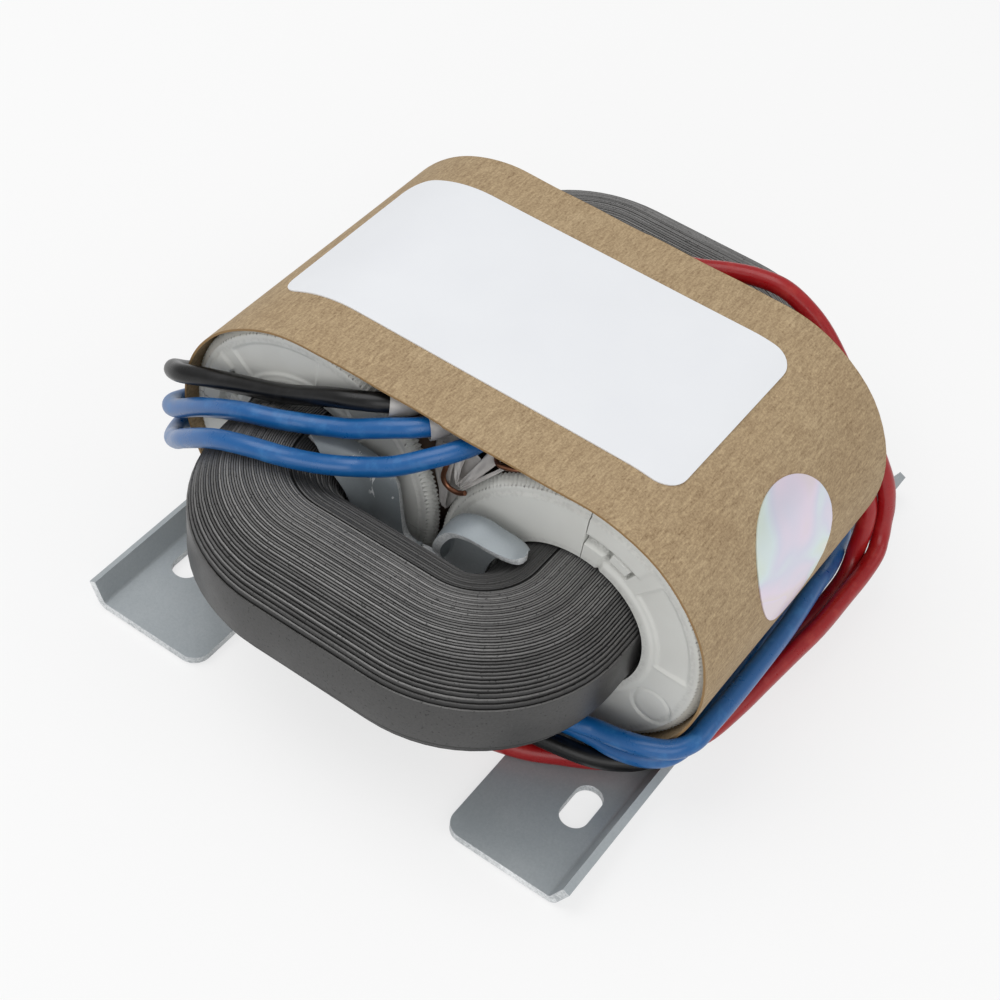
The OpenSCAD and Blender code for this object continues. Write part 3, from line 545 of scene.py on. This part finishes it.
def round_coils(s, r):
    """Y, Z and their outward direction on the outline of both coils, s millimetres from the top's
    middle towards the right: straight runs of the leg spacing joined by half circles of radius r."""
    run, arc = leg_y, np.pi * r
    s = np.mod(s, 4 * run + 2 * arc)
    turn_1, turn_2 = (s - run) / r, (s - 3 * run - arc) / r
    on = [s < run, s < run + arc, s < 3 * run + arc, s < 3 * run + 2 * arc]
    zero, one = np.zeros_like(s), np.ones_like(s)
    y = np.select(on, [-s, -run - r * np.sin(turn_1), s - 2 * run - arc, run + r * np.sin(turn_2)],
                  4 * run + 2 * arc - s)
    z = np.select(on, [r * one, r * np.cos(turn_1), -r * one, -r * np.cos(turn_2)], r)
    ny = np.select(on, [zero, -np.sin(turn_1), zero, np.sin(turn_2)], zero)
    nz = np.select(on, [one, np.cos(turn_1), -one, -np.cos(turn_2)], one)
    return y, z, ny, nz


def wrap_swell(s, x):
    """How far the paper stands off its outline, in millimetres: slow waves that close on themselves
    round the band, none under the coils."""
    y, z, ny, nz = round_coils(s, wrap_r)
    once_round = 2 * np.pi / wrap_round
    slow = 0.5 + 0.5 * np.sin(6 * once_round * s + 0.6) * np.cos(x * 0.11 + once_round * s)
    ribs = 0.5 + 0.5 * np.sin(100 * once_round * s + 0.5 * np.sin(0.25 * x))
    return (0.1 * slow + 0.02 * ribs * ramp(-y, leg_y, leg_y + 8)) * ramp(z, -0.85 * wrap_r, -0.3 * wrap_r)


# Kraft paper: mid brown and dull, a felt of long fibres that run mostly along the legs. They are
# drawn several times as coarse as real ones, so that they show.
kraft_paper, tree, surface = start_material("kraft_paper", Roughness=0.82)
place = add(tree, "TexCoord", {}).outputs["Object"]
cut = add(tree, "Attribute", {}, attribute_name="cut").outputs["Fac"]
cloud = add(tree, "TexNoise", {"Vector": place, "Scale": 1000 / 6, "Detail": 6.0,
                               "Roughness": 0.6}).outputs["Fac"]
grain = add(tree, "Mapping", {"Vector": place, "Scale": (0.25, 1.0, 1.0)}).outputs[0]
fibre = add(tree, "TexNoise", {"Vector": grain, "Scale": 1000 / 0.36, "Detail": 4.0, "Roughness": 0.65,
                               "Distortion": 0.8}).outputs["Fac"]
felt = add(tree, "TexNoise", {"Vector": place, "Scale": 1000 / 0.28, "Detail": 3.0,
                              "Roughness": 0.7}).outputs["Fac"]
mix = add(tree, "Mix", {0: 0.5, 2: fibre, 3: felt}).outputs[0]
light = add(tree, "MapRange", {"Value": mix, "From Min": 0.32, "From Max": 0.68}).outputs[0]
warm = add(tree, "Mix", {0: cloud, 6: linear("#755b3f"), 7: linear("#8a7355")},
           data_type="RGBA").outputs[2]
pale = add(tree, "Mix", {0: cloud, 6: linear("#b9a07b"), 7: linear("#cdb793")},
           data_type="RGBA").outputs[2]
colour = add(tree, "Mix", {0: light, 6: warm, 7: pale}, data_type="RGBA").outputs[2]
colour = add(tree, "Mix", {0: cut, 6: colour, 7: linear("#94764f")}, data_type="RGBA").outputs[2]
tree.links.new(colour, surface.inputs["Base Color"])
bump = add(tree, "Bump", {"Height": mix, "Strength": 0.05, "Distance": 0.0001})
tree.links.new(bump.outputs[0], surface.inputs["Normal"])

rows, face_cols = 540, 50
s = np.linspace(0, wrap_round, rows, endpoint=False)[:, None]
close = np.array([0.985, 0.997, 1])
x = np.concatenate([-close[::-1], np.linspace(-0.97, 0.97, face_cols - 6), close])[None, :]
edge_wave = 0.10 * np.sin(s * 0.16 + 1) + 0.05 * np.sin(s * 0.61)
end = wrap_l / 2 - 0.12 + 0.75 * edge_wave * ramp(abs(x), 0.9, 1)
xs = x * end
y, z, ny, nz = round_coils(s, wrap_r)
swell = wrap_swell(s, xs)
outer = np.stack(np.broadcast_arrays(xs, y + swell * ny, core_z + z + swell * nz), -1)
under = swell - wrap_t
inner = np.stack(np.broadcast_arrays(xs, y + under * ny, core_z + z + under * nz), -1)
points = np.concatenate([outer, inner[:, ::-1]], 1)
cut = np.zeros(2 * face_cols)
cut[[0, face_cols - 1, face_cols, -1]] = 1
wrap = piece("kraft_band", points, quads(rows, 2 * face_cols, True, True), "kraft_paper", kraft_paper,
             cut=np.broadcast_to(cut, points.shape[:2]))
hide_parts("kraft_wrap")


# Label and sticker
# A white paper label over the top of the wrap and a round foil sticker on its right side, both
# self-adhesive and blank.

label_l, label_w, label_shift, label_x, label_corner_r = 27.0, 52.8, 2.5, 0.7, 3.0
sticker_d, sticker_a, sticker_x = 16.5, 21.0, -1.0
stick_t, glue_gap = 0.15, 0.02


def skin_points(s, x, lift):
    """Points on the outside of the wrap, lifted off it by lift millimetres."""
    y, z, ny, nz = round_coils(s, wrap_r)
    off = wrap_swell(s, x) + lift
    return np.stack(np.broadcast_arrays(x, y + off * ny, core_z + z + off * nz), -1)


def stuck_sheet(s, x):
    """A closed thin sheet over a grid of places on the wrap: its upper face, lower face and rim."""
    rows, cols = np.broadcast(s, x).shape
    top = skin_points(s, x, glue_gap + stick_t)
    low = skin_points(s, x, glue_gap)
    face = np.array(quads(rows, cols))
    n = rows * cols
    loop = np.concatenate([np.arange(cols), np.arange(1, rows) * cols + cols - 1,
                           (rows - 1) * cols + np.arange(cols - 2, -1, -1),
                           np.arange(rows - 2, 0, -1) * cols])
    rim = np.stack([loop, np.roll(loop, -1), np.roll(loop, -1) + n, loop + n], -1)
    faces = np.concatenate([face, face[:, ::-1] + n, rim]).tolist()
    return np.concatenate([top.reshape(-1, 3), low.reshape(-1, 3)]), faces


# Coated label paper: smooth cool white with a faint sheen.
label_paper, tree, surface = start_material("coated_label_paper", IOR=1.5)
place = add(tree, "TexCoord", {}).outputs["Object"]
cloud = add(tree, "TexNoise", {"Vector": place, "Scale": 1000 / 9, "Detail": 4.0}).outputs["Fac"]
skin = add(tree, "TexNoise", {"Vector": place, "Scale": 1000 / 0.3, "Detail": 2.0}).outputs["Fac"]
colour = add(tree, "Mix", {0: cloud, 6: linear("#e6e8ec"), 7: linear("#eceef1")},
             data_type="RGBA").outputs[2]
tree.links.new(colour, surface.inputs["Base Color"])
gloss = add(tree, "MapRange", {"Value": cloud, "To Min": 0.42, "To Max": 0.56})
tree.links.new(gloss.outputs[0], surface.inputs["Roughness"])
bump = add(tree, "Bump", {"Height": skin, "Strength": 0.06, "Distance": 0.00005})
tree.links.new(bump.outputs[0], surface.inputs["Normal"])

# The label's ends are cut at these heights over the coils, so its length on the paper follows.
side_y = label_w / 2 + np.array([-label_shift, label_shift])
side_s = leg_y + wrap_r * np.arcsin((side_y - leg_y) / wrap_r)
s = np.concatenate([-side_s[1] + label_corner_r * (1 - np.cos(np.linspace(0, np.pi / 2, 9))),
                    np.linspace(-side_s[1] + label_corner_r, side_s[0] - label_corner_r, 90)[1:-1],
                    side_s[0] - label_corner_r * (1 - np.sin(np.linspace(0, np.pi / 2, 9)))])[:, None]
into = np.maximum(-side_s[1] + label_corner_r - s, s - side_s[0] + label_corner_r)
into = np.clip(into, 0, label_corner_r)
half_l = label_l / 2 - label_corner_r + np.sqrt(label_corner_r ** 2 - into ** 2)
points, faces = stuck_sheet(s, label_x + half_l * np.linspace(-1, 1, 40)[None, :])
label = piece("blank_label", points, faces, "label_paper", label_paper)
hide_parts("rating_label")

# Embossed foil: pearl white, split into soft pale bands of rainbow colour.
sticker_foil, tree, surface = start_material("embossed_pearl_foil", Metallic=0.35, Roughness=0.3)
place = add(tree, "TexCoord", {}).outputs["Object"]
slant = add(tree, "Mapping", {"Vector": place, "Rotation": (0.5, 0.0, 0.9)}).outputs[0]
hue = add(tree, "TexNoise", {"Vector": slant, "Scale": 1000 / 12, "Detail": 1.0,
                             "Distortion": 1.0}).outputs["Fac"]
hue = add(tree, "MapRange", {"Value": hue, "From Min": 0.3, "From Max": 0.7,
                             "To Min": -0.1, "To Max": 1.1}).outputs[0]
fine = add(tree, "TexNoise", {"Vector": place, "Scale": 1000 / 0.5, "Detail": 3.0}).outputs["Fac"]
tint = add(tree, "CombineColor", {0: hue, 1: 0.22, 2: 0.84}, mode="HSV").outputs[0]
colour = add(tree, "Mix", {0: 0.5, 6: tint, 7: linear("#dfe0e6")}, data_type="RGBA").outputs[2]
tree.links.new(colour, surface.inputs["Base Color"])
bump = add(tree, "Bump", {"Height": fine, "Strength": 0.1, "Distance": 0.00005})
tree.links.new(bump.outputs[0], surface.inputs["Normal"])

rings, spokes = 14, 96
middle = leg_y + wrap_r * np.radians(90 - sticker_a)
reach = np.linspace(0.02, sticker_d / 2, rings)[:, None]
t = np.linspace(0, 2 * np.pi, spokes, endpoint=False)[None, :]
disc_s, disc_x = middle + 1.02 * reach * np.sin(t), sticker_x + reach * np.cos(t)
top, low = (skin_points(disc_s, disc_x, lift) for lift in (glue_gap + stick_t, glue_gap))
points = np.concatenate([top, low[::-1]])
hub = [list(range(spokes)), list(range((2 * rings - 1) * spokes, 2 * rings * spokes))]
sticker = piece("blank_sticker", points, quads(2 * rings, spokes, False, True) + hub, "sticker_foil",
                sticker_foil)
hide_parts("round_sticker")


# Bracket
# One stamped and bent plate of 1 mm steel, painted grey, with four slotted feet and a lip along each
# side. Its two tongues stand in the core's window, and their split tops are folded over the core.

sheet_t, tongue_x, cut_z = 1.0, 21.75, 16.0
plate_ease, ear_ease = 0.14, 0.08

# Grey paint on steel sheet: satin and finely speckled, darker where the sheet is rolled over, and
# flecked white where it is bent sharply: paint cracked to the bare metal, painted bright as glints,
# so partly a painted highlight. The sheared edges are bare and rough, painted near white: bare steel
# with a painted highlight.
paint = {}
# The sheared edge's pale colours stand near white: bare steel, with a painted highlight for the light that
# catches the edges.
for name, dark, pale, metal, bent_darkening_share in (("grey_paint_on_steel", "#a0a7ab", "#aeb4b7", 0.2, 0.55),
                                      ("sheared_steel_edge", "#a3a8ab", "#f4f6f7", 0.0, 0.0)):
    paint[name], tree, surface = start_material(name, Metallic=metal)
    place = add(tree, "TexCoord", {}).outputs["Object"]
    strain = add(tree, "Attribute", {}, attribute_name="strain").outputs["Fac"]
    cloud = add(tree, "TexNoise", {"Vector": place, "Scale": 1000 / 8, "Detail": 5.0}).outputs["Fac"]
    speck = add(tree, "TexNoise", {"Vector": place, "Scale": 1000 / 0.3, "Detail": 4.0,
                                   "Roughness": 0.7}).outputs["Fac"]
    tint = add(tree, "Math", {0: cloud, 1: speck}, operation="ADD").outputs[0]
    tint = add(tree, "MapRange", {"Value": tint, "From Min": 0.75, "From Max": 1.25}).outputs[0]
    colour = add(tree, "Mix", {0: tint, 6: linear(dark), 7: linear(pale)}, data_type="RGBA").outputs[2]
    # Darker grey where the sheet is rolled over, as far as the strain reaches.
    bent_darkening = add(tree, "MapRange", {"Value": strain, "From Max": 0.3, "To Max": bent_darkening_share}).outputs[0]
    colour = add(tree, "Mix", {0: bent_darkening, 6: colour, 7: linear("#747c81")}, data_type="RGBA").outputs[2]
    # White flecks where the sheet is bent sharply: paint cracked to the bare metal, painted bright as glints,
    # a painted highlight.
    upright = add(tree, "Mapping", {"Vector": place, "Scale": (1.0, 1.0, 0.35)}).outputs[0]
    crack_and_glint = add(tree, "TexNoise", {"Vector": upright, "Scale": 1000 / 0.9, "Detail": 2.0,
                                   "Distortion": 1.5}).outputs["Fac"]
    crack_and_glint = add(tree, "MapRange", {"Value": crack_and_glint, "From Min": 0.64, "From Max": 0.67}).outputs[0]
    crack_glint_zone = add(tree, "MapRange", {"Value": strain, "From Min": 0.6, "From Max": 1.0}).outputs[0]
    crack_and_glint = add(tree, "Math", {0: crack_and_glint, 1: crack_glint_zone}, operation="MULTIPLY").outputs[0]
    colour = add(tree, "Mix", {0: crack_and_glint, 6: colour, 7: linear("#eef0f1")}, data_type="RGBA").outputs[2]
    tree.links.new(colour, surface.inputs["Base Color"])
    gloss = add(tree, "MapRange", {"Value": speck, "From Min": 0.3, "From Max": 0.7,
                                   "To Min": 0.36, "To Max": 0.5})
    tree.links.new(gloss.outputs[0], surface.inputs["Roughness"])
    bump = add(tree, "Bump", {"Height": tint, "Strength": 0.1, "Distance": 0.0001})
    tree.links.new(bump.outputs[0], surface.inputs["Normal"])

# The plate keeps its CAD shape up to the middle of the tongues; its corners are eased.
plate_mesh = bpy.data.meshes.new("bracket_plate")
shell = bmesh.new()
shell.from_mesh(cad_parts["base_bracket"].data)
bmesh.ops.remove_doubles(shell, verts=shell.verts, dist=2e-6)
bmesh.ops.bisect_plane(shell, geom=[*shell.verts, *shell.edges, *shell.faces], dist=1e-7,
                       plane_co=(0, 0, cut_z * 0.001), plane_no=(0, 0, 1), clear_outer=True)
bmesh.ops.holes_fill(shell, edges=[e for e in shell.edges if e.is_boundary])
bmesh.ops.dissolve_limit(shell, angle_limit=math.radians(0.5), verts=shell.verts, edges=shell.edges)
shell.normal_update()
for face in shell.faces:
    face.smooth = True
    centre = face.calc_center_median()
    low_side = abs(face.normal.z) < 0.1 and centre.z < 0.0011
    lip_end = abs(face.normal.x) > 0.99 and abs(centre.x) > 0.04
    face.material_index = 1 if low_side or lip_end else 0
shell.to_mesh(plate_mesh)
shell.free()
for key in ("grey_paint_on_steel", "sheared_steel_edge"):
    plate_mesh.materials.append(paint[key])
plate_mesh.set_sharp_from_angle(angle=math.radians(30))
plate = bpy.data.objects.new("bracket_plate", plate_mesh)
bpy.context.scene.collection.objects.link(plate)
ease = plate.modifiers.new("eased_corners", "BEVEL")
ease.width, ease.segments = plate_ease * 0.001, 2
ease.limit_method, ease.angle_limit = "ANGLE", math.radians(35)
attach(plate, "root")
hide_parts("base_bracket")

# Ears: places along the fold line, the tongue's outer edge and the free rim, each as distance out of
# the tongue, from the middle and height.
fold = [(0, 0, 18.6), (0, 1.6, 18.7), (0, 3.2, 19.3), (0, 4.1, 20.8), (0, 4.3, 22.8), (0, 4.5, 25),
        (0, 5.4, 27.1), (0, 7.6, 28.1), (0, 9.9, 28), (0, 11.6, 27.9), (0.25, 12.7, 28.12),
        (0.75, 13.45, 28.28), (1.3, 13.76, 28.3)]
foot = [(0, 0, 16), (0, 1.4, 16), (0, 3, 16), (0, 4.5, 16), (0, 6, 16), (0, 7.5, 16), (0, 8.15, 18),
        (0, 8.9, 22.7), (0, 10.2, 25.4), (0, 11.6, 27), (0, 12.6, 28), (0.45, 13.4, 28.25),
        (1.1, 13.75, 28.3)]
rim = [(0, 0, 18.7), (0.1, 1.5, 19), (0.5, 2.9, 19.8), (1.5, 3.4, 21.2), (2.6, 3.4, 22.9), (3, 3.8, 25),
       (3, 5.1, 27.1), (3, 7.3, 28), (3, 9.7, 28.1), (2.95, 11.5, 28.2), (2.75, 12.7, 28.25),
       (2.3, 13.4, 28.3), (1.75, 13.74, 28.3)]
# The front left ear leans forward as a whole: rows of places up the tongue and on to the tip, from
# the notch to the outer edge.
leaning = [[(0, -1.2, 16), (0, 2.2, 16), (0, 5.2, 16), (0, 8, 16)],
           [(0, -0.9, 18.4), (0.1, 2.6, 18.5), (0.6, 5.5, 18.8), (1.4, 8.1, 19)],
           [(0, 0.9, 18.85), (0.15, 3.3, 19.3), (0.65, 5.9, 19.6), (1.6, 8.15, 19.7)],
           [(0, 2.3, 19.5), (0.2, 4.1, 20), (0.7, 6.2, 20.3), (1.8, 8.2, 20.4)],
           [(-0.1, 3, 21.2), (0.35, 4.6, 21.5), (1, 6.7, 21.8), (2.4, 8.3, 21.8)],
           [(-0.1, 3.5, 23.8), (0.5, 5.1, 24.2), (1.3, 7.4, 24.3), (2.85, 9, 24)],
           [(0, 4.2, 26.8), (0.8, 5.9, 27.2), (1.7, 8.4, 26.6), (3, 10, 25.5)],
           [(0, 6.2, 28.3), (1.1, 8, 28.4), (2.1, 9.8, 27.7), (2.9, 11.4, 26.6)],
           [(-0.1, 10, 28.4), (1, 10.8, 28.6), (2, 11.6, 28.1), (2.85, 12.2, 27.3)],
           [(0, 14.3, 28.45), (0.8, 14.5, 28.6), (1.6, 14.7, 28.66), (2.25, 14.8, 28.66)]]
notch_off = 0.5


def folded_ear(side, low_share):
    """Middle surface of one ear: flat up to the fold line, then rolled over it to the rim. The share
    that is turned low on the tongue is smaller where the yoke is close."""
    line, base, edge = (smooth_route(p, 6) for p in (fold, foot, rim))
    notch = side * notch_off * (1 - ramp(line[:, 2:], 19, 23)) * (0, 1, 0)
    line, edge = line + notch, edge + notch
    edge = line + (edge - line) * (low_share + (1 - low_share) * ramp(line[:, 2:], 24, 26.5))
    along = np.gradient(line, axis=0)
    along /= np.linalg.norm(along, axis=1, keepdims=True)
    across = np.stack([0 * along[:, 0], -along[:, 2], along[:, 1]], -1)
    rise = (np.linalg.norm(edge - line, axis=1, keepdims=True) - 2 * line[:, :1]).clip(0)
    over = line + 0.45 * rise * across
    f, t = np.linspace(0, 1, 12)[None, :, None], np.linspace(0, 1, 18)[None, 1:, None]
    flat = (1 - f) * base[:, None] + f * line[:, None]
    rolled = (1 - t) ** 2 * line[:, None] + 2 * t * (1 - t) * over[:, None] + t ** 2 * edge[:, None]
    bent = np.tile(0.3 + 0.42 * np.sin(np.pi * t[..., 0] ** 0.6) ** 3, (len(line), 1))
    return np.concatenate([flat, rolled], 1), np.concatenate([np.zeros(flat.shape[:2]), bent], 1)


leaning_ear = smooth_route(smooth_route(leaning, 6).swapaxes(0, 1), 8).swapaxes(0, 1)
up, across = (np.linspace(0, 1, n) for n in leaning_ear.shape[:2])
# The hardest bent zone of the leaning ear gets the white flecks: cracks, painted bright as glints.
crack_glint_zone = np.outer(band(up, 0.48, 0.85, 0.1), band(across, 0.1, 0.6, 0.2))
leaning_strain = 0.3 * ramp(up, 0.13, 0.38)[:, None] + 0.7 * crack_glint_zone
points, faces, strains, count = [], [], [], 0
for end, side, (ear, strain) in ((-1, -1, folded_ear(-1, 1.0)), (-1, 1, (leaning_ear, leaning_strain)),
                                 (1, -1, folded_ear(-1, 0.3)), (1, 1, folded_ear(1, 0.3))):
    rows, cols = ear.shape[:2]
    faces += (np.array(quads(rows, cols)) + count).tolist()
    ear = np.stack([end * (tongue_x + sheet_t / 2 + ear[..., 0]), side * ear[..., 1], ear[..., 2]], -1)
    points.append(ear.reshape(-1, 3))
    strains.append(strain.ravel())
    count += rows * cols
ears = piece("folded_ears", np.concatenate(points), faces, "bracket_paint", paint["grey_paint_on_steel"],
             strain=np.concatenate(strains))
ears.data.materials.append(paint["sheared_steel_edge"])
thick = ears.modifiers.new("sheet", "SOLIDIFY")
thick.thickness, thick.offset, thick.material_offset_rim = sheet_t * 0.001, 0, 1
ease = ears.modifiers.new("eased_corners", "BEVEL")
ease.width, ease.segments = ear_ease * 0.001, 2
ease.limit_method, ease.angle_limit = "ANGLE", math.radians(50)


# Stage
# A plain pale floor that stays white to the camera and keeps a soft shadow, lit by large lamps and
# an even pale surround.

floor_mesh = bpy.data.meshes.new("floor")
floor_reach, floor_z = 3.0, -0.0002
floor_corners = [(x * floor_reach, y * floor_reach, floor_z) for x, y in ((-1, -1), (1, -1), (1, 1), (-1, 1))]
floor_mesh.from_pydata(floor_corners, [], [(0, 1, 2, 3)])
floor = bpy.data.objects.new("floor", floor_mesh)
bpy.context.scene.collection.objects.link(floor)
pale_floor, tree, surface = start_material("pale_floor", Roughness=0.9)
surface.inputs["Base Color"].default_value = linear("#eeeeee")
seen = add(tree, "LightPath", {})
looked_at = add(tree, "Math", {0: seen.outputs["Is Camera Ray"], 1: seen.outputs["Is Glossy Ray"]},
                operation="MAXIMUM").outputs[0]
looked_at = add(tree, "Math", {0: looked_at, 1: seen.outputs["Is Transmission Ray"]},
                operation="MAXIMUM").outputs[0]
share = add(tree, "Math", {0: looked_at, 1: 0.7}, operation="MULTIPLY")
white = add(tree, "Emission", {"Color": (1, 1, 1, 1), "Strength": 1.0})
mixed = add(tree, "MixShader", {0: share.outputs[0], 1: surface.outputs[0], 2: white.outputs[0]})
tree.links.new(mixed.outputs[0], tree.nodes["Material Output"].inputs["Surface"])
floor_mesh.materials.append(pale_floor)

world = bpy.data.worlds.new("pale_surround")
bpy.context.scene.world = world
world.use_nodes = True
tree = world.node_tree
back = tree.nodes["Background"]
back.inputs["Color"].default_value = (1, 1, 1, 1)
back.inputs["Strength"].default_value = 0.54
seen = add(tree, "LightPath", {})
white = add(tree, "Background", {"Color": (1, 1, 1, 1), "Strength": 1.0})
mixed = add(tree, "MixShader", {0: seen.outputs["Is Camera Ray"], 1: back.outputs[0], 2: white.outputs[0]})
tree.links.new(mixed.outputs[0], tree.nodes["World Output"].inputs["Surface"])

for name, place, size, watts in (("key_lamp", (-0.10, 0.30, 0.62), 0.55, 2.0),
                                 ("front_lamp", (-0.55, -0.25, 0.35), 0.45, 1.1),
                                 ("side_lamp", (0.10, -0.60, 0.40), 0.45, 0.6)):
    lamp = bpy.data.lights.new(name, "AREA")
    lamp.shape, lamp.size, lamp.energy = "SQUARE", size, watts
    lamp_obj = bpy.data.objects.new(name, lamp)
    bpy.context.scene.collection.objects.link(lamp_obj)
    lamp_obj.location = place
    lamp_obj.rotation_mode = "QUATERNION"
    lamp_obj.rotation_quaternion = (Vector((0, 0, 0.02)) - Vector(place)).to_track_quat("-Z", "Y")


# Camera
# It looks down on the front right corner with a moderate long lens, a little tilted.

camera_place = Vector((-147.3, -76.65, 183.85)) * 0.001
camera_aim = Vector((33.84, 24.656, -35.613)) * 0.001
camera_roll = 0.1426
camera_data = bpy.data.cameras.new("camera")
camera_data.lens, camera_data.sensor_width = 70.745, 36
camera_data.shift_x, camera_data.shift_y = 0.0171, -0.0063
camera_data.clip_start = 0.01
camera = bpy.data.objects.new("camera", camera_data)
bpy.context.scene.collection.objects.link(camera)
facing = (camera_aim - camera_place).to_track_quat("-Z", "Y").to_matrix().to_4x4()
camera.matrix_world = Matrix.Translation(camera_place) @ facing @ Matrix.Rotation(camera_roll, 4, "Z")
bpy.context.scene.camera = camera

bpy.context.scene.view_settings.view_transform = "Standard"

bpy.context.view_layer.update()
